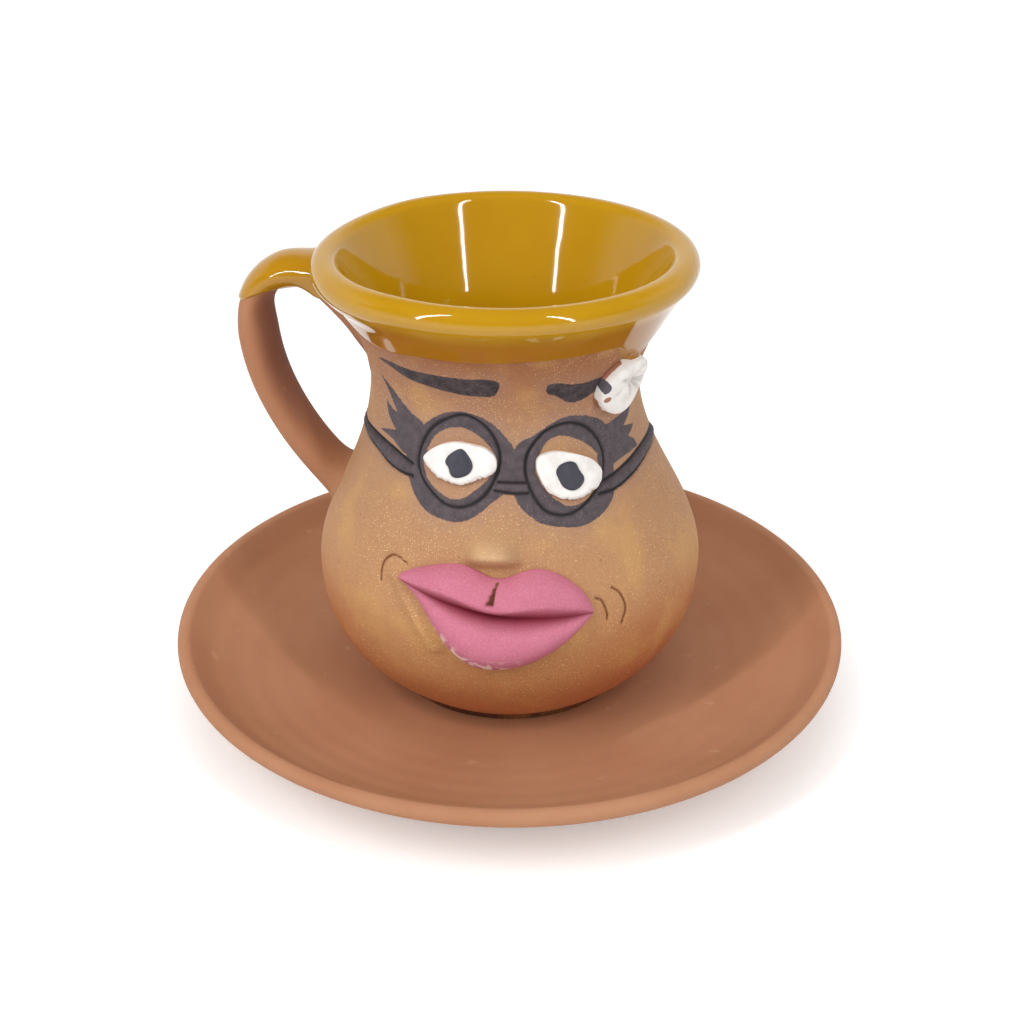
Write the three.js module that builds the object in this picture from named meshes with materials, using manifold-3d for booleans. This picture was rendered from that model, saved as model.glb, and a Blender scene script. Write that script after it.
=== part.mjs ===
// A hand-built clay cup with a comic face, standing on its saucer.
// Millimetres and degrees, +Z up. The origin is the middle of the saucer's foot, and the face
// looks along -Y. Left and right are as seen by someone who looks at the face.

import * as THREE from "three";
import { mergeVertices } from "three/addons/utils/BufferGeometryUtils.js";
import Module from "manifold-3d";

const wasm = await Module();
wasm.setup();

// Saucer
const SAUCER_RADIUS = 75;
const SAUCER_HEIGHT = 18.5;
const SAUCER_FOOT_RADIUS = 54;
const SAUCER_FOOT_ANGLE = 36;
const SAUCER_FLOOR = 5;
const SAUCER_LIP = 1.9;
const WELL_ROOM = 7;

// Cup wall, with heights above the cup's own foot
const FOOT_RADIUS = 25;
const FOOT_LEAN = 31;
const BELLY_RADIUS = 42;
const BELLY_HEIGHT = 28.7;
const NECK_RADIUS = 28.2;
const NECK_HEIGHT = 72.5;
const RIM_RADIUS = 39.1;
const CUP_HEIGHT = 98;
const LIP_BEAD = 2.5;
const WALL = 4;
const CUP_FLOOR = 5;

// Glaze, with dip lines measured down from the rim
const GLAZE = 0.4;
const DIP_DEPTH = 11.8;
const HANDLE_DIP_DEPTH = 15.2;

// Handle: a strap set below the rim and above the belly, turned back from the cup's left side,
// with a web of clay smoothed down the neck under its top root
const HANDLE_TURN = 12;
const HANDLE_TOP_DROP = 9;
const HANDLE_LOW_RISE = 12.3;
const HANDLE_GAP = 24.1;
const HANDLE_BEND_DROP = 10;
const HANDLE_THICK = 6.6;
const HANDLE_WIDTH = 12.8;
const HANDLE_ROOT_SPREAD = 1.4;
const HANDLE_WEB = 4.5;
const HANDLE_WEB_REACH = 3;
const HANDLE_TOP_ANGLE = 17;
const HANDLE_LOW_ANGLE = 221;
const HANDLE_SINK = 8;

// Face: each feature has its angle round the cup, its distance below the neck along the wall
// and its tilt, and the nose stands above the mouth
const LEFT_EYE = { angle: -20, below: 9.4, tilt: 4, pupilAcross: 0.9, pupilUp: 0.2 };
const RIGHT_EYE = { angle: 23, below: 12.1, tilt: -13, pupilAcross: -1.6, pupilUp: -0.4 };
const EYE_WIDTH = 15.2;
const EYE_HEIGHT = 9;
const EYE_THICK = 1.3;
const PUPIL_WIDTH = 5;
const PUPIL_HEIGHT = 6;
const PUPIL_THICK = 0.7;
const MOUTH = { angle: -5.3, below: 37.9, tilt: -7.5 };
const MOUTH_WIDTH = 41;
const MOUTH_GAP = 0.6;
const MOUTH_SAG = 1.4;
const UPPER_LIP_HEIGHT = 9;
const UPPER_LIP_THICK = 4.2;
const UPPER_LIP_LEAN = 0.3;
const UPPER_LIP_BOW = 0.38;
const UPPER_LIP_BOW_WIDTH = 0.3;
const LOWER_LIP_HEIGHT = 12.2;
const LOWER_LIP_THICK = 5.2;
const LOWER_LIP_LEFT = 2.3;
const LOWER_LIP_RIGHT = 1.1;
const LIP_EDGE = 0.6;
const NOSE_ANGLE = -4;
const NOSE_OVER_LIP = 1.5;
const NOSE_WIDTH = 15;
const NOSE_ABOVE = 8.5;
const NOSE_BELOW = 2.7;
const NOSE_THICK = 4.4;
const NOSE_EDGE = 0.4;

// Flower, just below the dip line
const FLOWER_ANGLE = 51;
const FLOWER_DROP = 2.7;
const FLOWER_RADIUS = 6.8;
const FLOWER_THICK = 2.8;
const FLOWER_PETALS = 7;
const FLOWER_NOTCH = 0.12;
const FLOWER_CREASE = 0.3;

// Every two pieces that touch keep this gap
const SEAT_GAP = 0.3;

// How far each curve of the profiles keeps its direction, as a share of what it spans
const PULL = {
  foot: 0.46, underBelly: 0.49, overBelly: 0.3, underNeck: 0.43, overNeck: 0.25, underLip: 0.24,
  insideLip: 0.4, insideNeck: 0.3, insideBelly: 0.45, insideFloor: 0.3,
  saucerFoot: 0.4, saucerRim: 0.45, saucerInside: 0.25, saucerWell: 0.65,
  handleTop: 0.65, handleBend: 0.4, handleLow: 0.33,
};

// Facets
const TURNS = 36;
const OUTER_STEPS = 6;
const INNER_STEPS = 4;
const LIP_STEPS = 7;
const SAUCER_STEPS = 7;
const HANDLE_STEPS = 20;
const HANDLE_SIDES = 14;
const LIP_COLUMNS = 16;
const LIP_ROWS = 6;
const SPOKES_PER_PETAL = 6;
const MERGE = 1e-4;

const degrees = THREE.MathUtils.degToRad;
const point = (x, y) => new THREE.Vector2(x, y);
const polar = (angle, length) => point(length, 0).rotateAround(point(0, 0), degrees(angle));
const rows = (count, make) => Array.from({ length: count }, (_, index) => make(index));

// A smooth curve that leaves one point along a vector and reaches another along a second vector
function sweep(from, leave, to, reach) {
  return new THREE.CubicBezierCurve(from, from.clone().add(leave), to.clone().sub(reach), to);
}

// A round bead between two angles: its points, its two ends and the ways that it runs there
function roundBead(middle, radius, startAngle, endAngle, steps) {
  const arc = new THREE.EllipseCurve(
    middle.x, middle.y, radius, radius, degrees(startAngle), degrees(endAngle)
  );
  return {
    points: arc.getPoints(steps),
    start: arc.getPoint(0),
    end: arc.getPoint(1),
    startWay: polar(startAngle + 90, 1),
    endWay: polar(endAngle + 90, 1),
  };
}

// A turned solid from a profile of radius and height that closes on the axis or on itself
function turned(profile) {
  return new THREE.LatheGeometry(profile, TURNS).rotateX(Math.PI / 2);
}

// A profile moved outwards, square to itself, by a distance
function offset(profile, distance) {
  return profile.map((here, index) => {
    const before = profile[Math.max(index - 1, 0)];
    const after = profile[Math.min(index + 1, profile.length - 1)];
    const way = after.clone().sub(before).normalize();
    return here.clone().add(point(way.y, -way.x).multiplyScalar(distance));
  });
}

function toSolid(geometry) {
  const bare = geometry.clone().deleteAttribute("uv").deleteAttribute("normal");
  const merged = mergeVertices(bare, MERGE);
  return new wasm.Manifold(new wasm.Mesh({
    numProp: 3,
    vertProperties: merged.getAttribute("position").array,
    triVerts: new Uint32Array(merged.getIndex().array),
  }));
}

function toGeometry(solid) {
  const { vertProperties, triVerts } = solid.getMesh();
  const geometry = new THREE.BufferGeometry();
  geometry.setAttribute("position", new THREE.BufferAttribute(new Float32Array(vertProperties), 3));
  geometry.setIndex(new THREE.BufferAttribute(new Uint32Array(triVerts), 1));
  geometry.computeVertexNormals();
  return geometry;
}

// A closed solid through a row of loops of equal length, closed by a point at either end
function loft(loops, first, last) {
  const sides = loops[0].length;
  const corners = [first, ...loops.flat(), last];
  const end = corners.length - 1;
  const corner = (row, side) => 1 + row * sides + (side % sides);
  const faces = [];
  for (let side = 0; side < sides; side += 1) {
    faces.push(0, corner(0, side), corner(0, side + 1));
    for (let row = 0; row + 1 < loops.length; row += 1) {
      faces.push(corner(row, side), corner(row + 1, side), corner(row + 1, side + 1));
      faces.push(corner(row, side), corner(row + 1, side + 1), corner(row, side + 1));
    }
    faces.push(corner(loops.length - 1, side), end, corner(loops.length - 1, side + 1));
  }
  const geometry = new THREE.BufferGeometry().setFromPoints(corners);
  geometry.setIndex(faces);
  geometry.computeVertexNormals();
  return geometry;
}

// Cup profile: three curves up the outside, the lip's bead and three curves down the inside
const lipMiddle = point(RIM_RADIUS - LIP_BEAD, CUP_HEIGHT - LIP_BEAD);
const lipBead = roundBead(lipMiddle, LIP_BEAD, -65, 150, LIP_STEPS);
const shoulder = NECK_HEIGHT - BELLY_HEIGHT;
const flare = lipBead.start.y - NECK_HEIGHT;

const outerCurves = [
  sweep(
    point(FOOT_RADIUS, 0), polar(FOOT_LEAN, PULL.foot * BELLY_HEIGHT),
    point(BELLY_RADIUS, BELLY_HEIGHT), point(0, PULL.underBelly * BELLY_HEIGHT)
  ),
  sweep(
    point(BELLY_RADIUS, BELLY_HEIGHT), point(0, PULL.overBelly * shoulder),
    point(NECK_RADIUS, NECK_HEIGHT), point(0, PULL.underNeck * shoulder)
  ),
  sweep(
    point(NECK_RADIUS, NECK_HEIGHT), point(0, PULL.overNeck * flare),
    lipBead.start, lipBead.startWay.multiplyScalar(PULL.underLip * flare)
  ),
];

const innerCurves = [
  sweep(
    lipBead.end, lipBead.endWay.multiplyScalar(PULL.insideLip * flare),
    point(NECK_RADIUS - WALL, NECK_HEIGHT), point(0, -PULL.insideNeck * flare)
  ),
  sweep(
    point(NECK_RADIUS - WALL, NECK_HEIGHT), point(0, -PULL.underNeck * shoulder),
    point(BELLY_RADIUS - WALL, BELLY_HEIGHT), point(0, -PULL.overBelly * shoulder)
  ),
  sweep(
    point(BELLY_RADIUS - WALL, BELLY_HEIGHT), point(0, -PULL.insideBelly * BELLY_HEIGHT),
    point(FOOT_RADIUS - WALL, CUP_FLOOR), point(-PULL.insideFloor * BELLY_HEIGHT, 0)
  ),
];

// Points along curves that join, without the first point of the row
const alongCurves = (curves, steps) => curves.flatMap((curve) => curve.getPoints(steps).slice(1));

const outerProfile = [point(FOOT_RADIUS, 0), ...alongCurves(outerCurves, OUTER_STEPS)];
const lipProfile = lipBead.points.slice(1);
const innerProfile = [...alongCurves(innerCurves, INNER_STEPS), point(0, CUP_FLOOR)];

// The wall's outside as one curve, measured along itself from the foot
const wallCurve = new THREE.CurvePath();
outerCurves.forEach((curve) => wallCurve.add(curve));
const wallLength = wallCurve.getLength();
const neckLength = outerCurves[0].getLength() + outerCurves[1].getLength();

function lengthAtHeight(height) {
  const HALVINGS = 40;
  let low = 0;
  let high = wallLength;
  for (let count = 0; count < HALVINGS; count += 1) {
    const middle = (low + high) / 2;
    if (wallCurve.getPoint(middle / wallLength).y < height) low = middle;
    else high = middle;
  }
  return low;
}

const wallAtHeight = (height) => wallCurve.getPoint(lengthAtHeight(height) / wallLength);
const dipLine = wallAtHeight(CUP_HEIGHT - DIP_DEPTH);

// A place on the wall, as a function from across, up and lift to a point in space
function seat({ angle, below, tilt = 0 }) {
  const start = neckLength - below;
  const radius = wallCurve.getPoint(start / wallLength).x;
  const [cos, sin] = [Math.cos(degrees(tilt)), Math.sin(degrees(tilt))];
  return (across, up, lift) => {
    const share = (start + across * sin + up * cos) / wallLength;
    const foot = wallCurve.getPoint(share);
    const way = wallCurve.getTangent(share);
    const round = degrees(angle) + (across * cos - up * sin) / radius;
    const reach = foot.x + way.y * lift;
    return new THREE.Vector3(reach * Math.sin(round), -reach * Math.cos(round), foot.y - way.x * lift);
  };
}

// A pad of clay pressed onto the wall: edge gives its reach by turn, and rise its height above its base
function pad(place, edge, rise, { rings, spokes, base = SEAT_GAP, middle = point(0, 0) }) {
  const at = seat(place);
  const ring = (share, lift) => rows(spokes, (spoke) => {
    const turn = (2 * Math.PI * spoke) / spokes;
    const reach = share * edge(turn);
    const across = middle.x + reach * Math.cos(turn);
    return at(across, middle.y + reach * Math.sin(turn), base + lift(share, turn));
  });
  const shares = rows(rings, (index) => (index + 1) / rings);
  const front = shares.map((share) => ring(share, rise));
  const back = shares.map((share) => ring(share, () => 0)).reverse();
  const [top, bottom] = [rise(0, 0), 0].map((lift) => at(middle.x, middle.y, base + lift));
  return loft([...front, ...back], top, bottom);
}

// An oval outline with its own reach above and below
function oval(halfWidth, above, below) {
  return (turn) => {
    const halfHeight = Math.sin(turn) > 0 ? above : below;
    return 1 / Math.hypot(Math.cos(turn) / halfWidth, Math.sin(turn) / halfHeight);
  };
}

// An outline of two equal arcs that meet in a point at either side
function almond(halfWidth, halfHeight) {
  return (turn) => {
    const rise = Math.abs(Math.sin(turn));
    const run = (2 * halfHeight * Math.cos(turn)) / halfWidth;
    return (2 * halfHeight) / (rise + Math.hypot(rise, run));
  };
}

// A lip as a roll of clay between two edges, given across the mouth from -1 to 1
function lip(low, high, rise) {
  const at = seat(MOUTH);
  const sections = rows(LIP_COLUMNS + 1, (column) => {
    const share = (2 * column) / LIP_COLUMNS - 1;
    const across = (share * MOUTH_WIDTH) / 2;
    const corner = (row, lift) => {
      const up = THREE.MathUtils.lerp(low(share), high(share), row / LIP_ROWS);
      return at(across, up, SEAT_GAP + lift);
    };
    const front = rows(LIP_ROWS + 1, (row) => corner(row, LIP_EDGE + rise(share, row / LIP_ROWS)));
    const back = rows(LIP_ROWS + 1, (row) => corner(LIP_ROWS - row, 0));
    return [...front, ...back];
  });
  const middleOf = (loop) => {
    const sum = loop.reduce((total, corner) => total.add(corner), new THREE.Vector3());
    return sum.divideScalar(loop.length);
  };
  return loft(sections, middleOf(sections[0]), middleOf(sections[LIP_COLUMNS]));
}

// How full the mouth is across its width, from 1 in the middle to 0 at the corners
const fullness = (share) => Math.sqrt(Math.max(1 - share * share, 0));

// The middle line of the handle in its own plane, sunk into the wall at both ends
function handleLine() {
  const topHeight = CUP_HEIGHT - HANDLE_TOP_DROP;
  const lowHeight = BELLY_HEIGHT + HANDLE_LOW_RISE;
  const top = point(wallAtHeight(topHeight).x - WALL / 2, topHeight);
  const low = point(wallAtHeight(lowHeight).x - WALL / 2, lowHeight);
  const bend = point(NECK_RADIUS + HANDLE_GAP + HANDLE_THICK / 2, topHeight - HANDLE_BEND_DROP);
  const run = bend.x - top.x;
  const drop = bend.y - low.y;
  const line = new THREE.CurvePath();
  line.add(new THREE.LineCurve(top.clone().sub(polar(HANDLE_TOP_ANGLE, HANDLE_SINK)), top));
  line.add(sweep(
    top, polar(HANDLE_TOP_ANGLE, PULL.handleTop * run), bend, point(0, -PULL.handleBend * run)
  ));
  line.add(sweep(
    bend, point(0, -PULL.handleBend * drop), low, polar(HANDLE_LOW_ANGLE, PULL.handleLow * drop)
  ));
  line.add(new THREE.LineCurve(low, low.clone().add(polar(HANDLE_LOW_ANGLE, HANDLE_SINK))));
  return line;
}

// The handle's strap, oval in section and wider at its roots, grown by a margin on all sides,
// with its underside slid down the neck where it nears the wall
function strap(margin) {
  const line = handleLine();
  const outward = polar(180 - HANDLE_TURN, 1);
  const place = (radius, height, side) => new THREE.Vector3(
    radius * outward.x - side * outward.y, radius * outward.y + side * outward.x, height
  );
  const sections = rows(HANDLE_STEPS + 1, (step) => {
    const share = step / HANDLE_STEPS;
    const middle = line.getPoint(share);
    const way = line.getTangent(share);
    const spread = THREE.MathUtils.lerp(1, HANDLE_ROOT_SPREAD, (2 * share - 1) ** 4);
    const clear = Math.max(middle.x - wallAtHeight(middle.y).x, -HANDLE_WEB_REACH);
    const web = share < 0.5 ? HANDLE_WEB * Math.exp(-clear / HANDLE_WEB_REACH) : 0;
    return rows(HANDLE_SIDES, (side) => {
      const turn = (2 * Math.PI * side) / HANDLE_SIDES;
      const out = ((spread * HANDLE_THICK) / 2 + margin) * Math.cos(turn);
      const aside = ((spread * HANDLE_WIDTH) / 2 + margin) * Math.sin(turn);
      const height = middle.y + way.x * out;
      const slide = web * Math.max(-Math.cos(turn), 0);
      const recede = wallAtHeight(height).x - wallAtHeight(height - slide).x;
      return place(middle.x - way.y * out - recede, height - slide, aside);
    });
  });
  const [start, end] = [line.getPoint(0), line.getPoint(1)];
  return toSolid(loft(sections, place(start.x, start.y, 0), place(end.x, end.y, 0)));
}

// The whole cup without its hollow, grown by a margin, to trim what is set against it
function plug(margin) {
  const lipOutside = lipProfile.filter((corner) => corner.x > lipMiddle.x);
  const outline = offset([...outerProfile, ...lipOutside], margin);
  return toSolid(turned([point(0, -margin), ...outline, point(0, CUP_HEIGHT + margin)]));
}

// The saucer: flat foot, rising underside, round lip and a hollow that ends in a flat well
function saucer() {
  const lipCentre = point(SAUCER_RADIUS - SAUCER_LIP, SAUCER_HEIGHT - SAUCER_LIP);
  const rim = roundBead(lipCentre, SAUCER_LIP, -60, 140, SAUCER_STEPS);
  const wellRadius = FOOT_RADIUS + WELL_ROOM;
  const underside = sweep(
    point(SAUCER_FOOT_RADIUS, 0),
    polar(SAUCER_FOOT_ANGLE, PULL.saucerFoot * (SAUCER_RADIUS - SAUCER_FOOT_RADIUS)),
    rim.start, rim.startWay.multiplyScalar(PULL.saucerRim * SAUCER_HEIGHT)
  );
  const inside = sweep(
    rim.end, rim.endWay.multiplyScalar(PULL.saucerInside * SAUCER_HEIGHT),
    point(wellRadius, SAUCER_FLOOR), point(-PULL.saucerWell * (SAUCER_RADIUS - wellRadius), 0)
  );
  return turned([
    point(0, 0),
    ...underside.getPoints(SAUCER_STEPS),
    ...rim.points.slice(1),
    ...inside.getPoints(SAUCER_STEPS).slice(1),
    point(0, SAUCER_FLOOR),
  ]);
}

function cupBody() {
  return turned([point(0, 0), ...outerProfile, ...lipProfile, ...innerProfile]);
}

// The coat follows the clay from the dip line over the lip to the floor, open where the handle is set
function glazeCoat() {
  const coated = [
    dipLine,
    ...outerProfile.filter((corner) => corner.y > dipLine.y + GLAZE),
    ...lipProfile,
    ...innerProfile,
  ];
  const near = offset(coated, SEAT_GAP).reverse();
  const far = offset(coated, SEAT_GAP + GLAZE);
  const coat = toSolid(turned([...near, ...far]));
  return toGeometry(coat.subtract(strap(SEAT_GAP).subtract(plug(0))));
}

function handle() {
  return toGeometry(strap(0).subtract(plug(SEAT_GAP)));
}

// The coat on the handle is a sleeve, cut off at its own dip line and where the cup's coat begins
function handleGlaze() {
  const room = 4 * CUP_HEIGHT;
  const dipHeight = CUP_HEIGHT - HANDLE_DIP_DEPTH;
  const above = new THREE.BoxGeometry(room, room, room).translate(0, 0, dipHeight + room / 2);
  const sleeve = strap(SEAT_GAP + GLAZE).subtract(strap(SEAT_GAP));
  return toGeometry(sleeve.intersect(toSolid(above)).subtract(plug(2 * SEAT_GAP + GLAZE)));
}

function eye(place) {
  const flat = (share) => EYE_THICK * (1 - 0.4 * share ** 6);
  return pad(place, almond(EYE_WIDTH / 2, EYE_HEIGHT / 2), flat, { rings: 3, spokes: 24 });
}

function pupil(place) {
  const dome = (share) => PUPIL_THICK * (1 - 0.5 * share ** 2);
  const outline = oval(PUPIL_WIDTH / 2, PUPIL_HEIGHT / 2, PUPIL_HEIGHT / 2);
  const base = EYE_THICK + 2 * SEAT_GAP;
  const middle = point(place.pupilAcross, place.pupilUp);
  return pad(place, outline, dome, { rings: 2, spokes: 16, base, middle });
}

// The line between the lips hangs a little below its corners
const mouthLine = (share) => -MOUTH_SAG * fullness(share) ** 2;

// The upper lip dips in the middle and overhangs the mouth
function upperLip() {
  const dip = (share) => 1 - UPPER_LIP_BOW * Math.exp(-((share / UPPER_LIP_BOW_WIDTH) ** 2));
  const crown = (share) => UPPER_LIP_HEIGHT * (1 + UPPER_LIP_LEAN * share) * fullness(share) ** 1.3;
  const low = (share) => MOUTH_GAP / 2 + mouthLine(share);
  const high = (share) => MOUTH_GAP / 2 + LIP_EDGE + crown(share) * dip(share);
  const rise = (share, up) => {
    const roll = Math.cos((up ** 1.4 * Math.PI) / 2) ** 0.8;
    return UPPER_LIP_THICK * fullness(share) * roll;
  };
  return lip(low, high, rise);
}

// The lower lip pouts: it is thickest below its middle, and runs out sooner at the left
function lowerLip() {
  const pout = (share) => fullness(share) ** (2 * (share < 0 ? LOWER_LIP_LEFT : LOWER_LIP_RIGHT));
  const high = (share) => mouthLine(share) - MOUTH_GAP / 2;
  const low = (share) => high(share) - LIP_EDGE - LOWER_LIP_HEIGHT * pout(share);
  const rise = (share, up) => {
    const roll = Math.sin((1 - up) ** 0.6 * Math.PI) ** 0.7;
    return LOWER_LIP_THICK * pout(share) * roll;
  };
  return lip(low, high, rise);
}

// The nose is a drop of clay over the middle of the upper lip
function nose() {
  const lipTop = MOUTH_GAP / 2 + LIP_EDGE + UPPER_LIP_HEIGHT * (1 - UPPER_LIP_BOW);
  const place = { angle: NOSE_ANGLE, below: MOUTH.below - lipTop - NOSE_OVER_LIP - NOSE_BELOW };
  const dome = (share) => NOSE_EDGE + (NOSE_THICK - NOSE_EDGE) * Math.cos((share * Math.PI) / 2) ** 1.5;
  return pad(place, oval(NOSE_WIDTH / 2, NOSE_ABOVE, NOSE_BELOW), dome, { rings: 5, spokes: 20 });
}

// Petals meet in creases that run from the middle to notches in the edge
function flower() {
  const dipLength = lengthAtHeight(dipLine.y);
  const place = { angle: FLOWER_ANGLE, below: neckLength - dipLength + FLOWER_DROP + FLOWER_RADIUS };
  const petal = (turn) => Math.sqrt(Math.abs(Math.sin((FLOWER_PETALS * turn) / 2)));
  const edge = (turn) => FLOWER_RADIUS * (1 - FLOWER_NOTCH * (1 - petal(turn)));
  const dome = (share) => FLOWER_THICK * (1 - 0.4 * share ** 4);
  const rise = (share, turn) => dome(share) * (1 - FLOWER_CREASE * (1 - petal(turn)));
  return pad(place, edge, rise, { rings: 4, spokes: SPOKES_PER_PETAL * FLOWER_PETALS });
}

const matt = (color) => new THREE.MeshStandardMaterial({ color, roughness: 0.85, metalness: 0 });
const bodyClay = matt(0xb5845c);
const bareClay = matt(0xa87050);
const pinkSlip = matt(0xcb768e);
const whiteSlip = matt(0xefece6);
const darkSlip = matt(0x4a464d);
const yellowGlaze = new THREE.MeshStandardMaterial({ color: 0xc4901e, roughness: 0.12, metalness: 0 });

function named(name, geometry, material) {
  const mesh = new THREE.Mesh(geometry, material);
  mesh.name = name;
  return mesh;
}

const cup = new THREE.Group();
cup.position.z = SAUCER_FLOOR + SEAT_GAP;
cup.add(
  named("cup_body", cupBody(), bodyClay),
  named("glaze_coat", glazeCoat(), yellowGlaze),
  named("handle", handle(), bareClay),
  named("handle_glaze", handleGlaze(), yellowGlaze),
  named("left_eye", eye(LEFT_EYE), whiteSlip),
  named("right_eye", eye(RIGHT_EYE), whiteSlip),
  named("left_pupil", pupil(LEFT_EYE), darkSlip),
  named("right_pupil", pupil(RIGHT_EYE), darkSlip),
  named("nose", nose(), bodyClay),
  named("upper_lip", upperLip(), pinkSlip),
  named("lower_lip", lowerLip(), pinkSlip),
  named("flower", flower(), whiteSlip)
);

const cupOnSaucer = new THREE.Group();
cupOnSaucer.add(named("saucer", saucer(), bareClay), cup);

export default cupOnSaucer;
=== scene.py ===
"""A hand-built clay cup with a comic face, standing on its saucer.

Sizes are millimetres and degrees in the part's own frame: +Z up, the face towards -Y. Left and right
are as seen by someone who looks at the face. Meshes are written in metres.
"""

import math

import bmesh
import bpy
import numpy as np
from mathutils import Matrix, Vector


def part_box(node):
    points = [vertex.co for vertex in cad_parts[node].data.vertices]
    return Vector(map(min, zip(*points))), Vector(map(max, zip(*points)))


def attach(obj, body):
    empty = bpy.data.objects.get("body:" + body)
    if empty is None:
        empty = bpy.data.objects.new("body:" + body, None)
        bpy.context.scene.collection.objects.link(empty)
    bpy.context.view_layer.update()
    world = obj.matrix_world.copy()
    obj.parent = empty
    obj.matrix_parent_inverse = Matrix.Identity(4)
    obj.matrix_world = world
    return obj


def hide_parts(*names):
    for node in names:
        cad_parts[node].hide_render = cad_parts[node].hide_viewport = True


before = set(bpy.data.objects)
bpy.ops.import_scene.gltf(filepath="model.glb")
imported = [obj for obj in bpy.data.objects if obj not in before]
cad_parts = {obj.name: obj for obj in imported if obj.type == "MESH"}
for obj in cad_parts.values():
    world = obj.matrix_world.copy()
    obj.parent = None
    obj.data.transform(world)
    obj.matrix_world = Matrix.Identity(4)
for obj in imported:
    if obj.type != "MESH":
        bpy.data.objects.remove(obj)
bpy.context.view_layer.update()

MM = 0.001

# Saucer
SAUCER_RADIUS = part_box("saucer")[1].x / MM
SAUCER_SAG = 0.6
SAUCER_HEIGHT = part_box("saucer")[1].z / MM - SAUCER_SAG
SAUCER_FOOT_RADIUS = 54
SAUCER_FOOT_ANGLE = 36
SAUCER_FLOOR = 5
SAUCER_LIP = 1.9
SAUCER_LIP_ANGLES = (-60, 140)
SAUCER_WELL_RADIUS = 32
SAUCER_OUTER_PULLS = (0.4, 0.45)
SAUCER_INNER_PULLS = (0.25, 0.65)
SAUCER_SIDES = 192
SAUCER_WOBBLE = 0.12
SAUCER_WEAR = {"within": (5, 2), "share": 0.12}
THROWING_RING = {"height": 0.07, "per_mm": 1.1}

# Cup wall, with heights above the cup's own foot
CUP_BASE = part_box("cup_body")[0].z / MM
CUP_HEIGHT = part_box("cup_body")[1].z / MM - CUP_BASE
BELLY_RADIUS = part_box("cup_body")[1].x / MM
BELLY_HEIGHT = 28.7
FOOT_RADIUS = 25
FOOT_LEAN = 36
FOOT_RING_INSET = 0.5
FOOT_RING_HEIGHT = 1.5
NECK_RADIUS = 28.2
NECK_HEIGHT = 72.5
RIM_RADIUS = 39.1
LIP_BEAD = 2.5
LIP_ANGLES = (-42, 150)
WALL = 4
CUP_FLOOR = 5
FOOT_PULLS = (0.46, 0.49)
SHOULDER_PULLS = (0.285, 0.43)
FLARE_PULLS = (0.22, 0.3)
INNER_FLARE_PULLS = (0.4, 0.3)
INNER_SHOULDER_PULLS = (0.43, 0.3)
INNER_FOOT_PULLS = (0.45, 0.3)

# The clay shows through its spray low down at the sides, and the painted slip is faint below the brows
UNSPRAYED = {"middle": -8, "aside": (14, 38), "heights": (44, 22)}
FAINT_SLIP_HEIGHTS = (81, 77)

# The hand-thrown cup leans left, by a distance that it reaches between two heights
LEAN = 1
LEAN_HEIGHTS = (42, 76)

# The left side of its rim hangs lower, and the neck is pinched below it
RIM_SAG = 0.85
RIM_SAG_HEIGHTS = (84, 97)
RIM_SAG_REACH = (18, 38)
RIM_SAG_WITHIN = (50, 42)
NECK_PINCH = {"angle": -60, "width": 20, "depth": 0.9, "from": (82, 88), "to": (98, 94)}

# Glaze, with dip lines measured down from the rim
GLAZE = 0.55
GLAZE_ROOT = 1.2
GLAZE_EDGE = (-0.5, 0.9)
GLAZE_SINK = 0.6
# Below the rim the outside glaze is browner: thinner there, and painted shade on the flare that faces down
GLAZE_THIN_AND_SHADED = (4, 7)
GLAZE_SWELL = {"edge": (0.6, -0.8), "share": 0.75}
GLAZE_SIDES = 240
HANDLE_GLAZE_SINK = 0.9
HANDLE_GLAZE_THIN = 0.35
DIP_DEPTH = 11.8
HANDLE_DIP_DEPTH = 14.9
HANDLE_DIP_RISE = 4.2
DIP_WAVE = 0.35

# Where the glaze runs lower or stays higher, as angle round the cup, width and length
DIP_RUNS = ((55, 12, 5), (-60, 26, 2), (-102, 30, -12))

# Handle
HANDLE_TURN = 12
HANDLE_TOP_DROP = 7.2
HANDLE_LOW_RISE = 12.3
HANDLE_GAP = 22.4
HANDLE_BEND_DROP = 11.3
HANDLE_THICK = 8
HANDLE_TOP_THICK = 6.3
HANDLE_THICK_HEIGHTS = (80, 90)
HANDLE_WIDTH = 12.8
HANDLE_TOP_ANGLE = 10
HANDLE_LOW_ANGLE = 221
HANDLE_TOP_PULLS = (0.65, 0.4)
HANDLE_LOW_PULLS = (0.4, 0.33)
HANDLE_SINK = 8
HANDLE_FILLET = 1.2
HANDLE_FILLET_FADES = (2.5, 1.8)
HANDLE_SEAT = 4
HANDLE_BURIED = 1
HANDLE_STEPS = 140
HANDLE_SIDES = 144
# Painted shade on the strap's inner side, which faces the cup, fading out lower down
HANDLE_PAINTED_SHADE = {"underside": (0.2, 0.9), "heights": (45, 75), "share": 0.5}

# The web of clay that the handle's root sends down the neck, longer the nearer the strap is to the wall
WEB = 12.5
WEB_FADE = 3.9
WEB_WITHIN = (8, 2)
WEB_TAIL = {"from": -0.5, "slope": 2.5}
WEB_TAPER = {"slides": (11, 19), "share": 0.7}
WEB_UNDERSIDE = (-0.1, 0.7)

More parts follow.
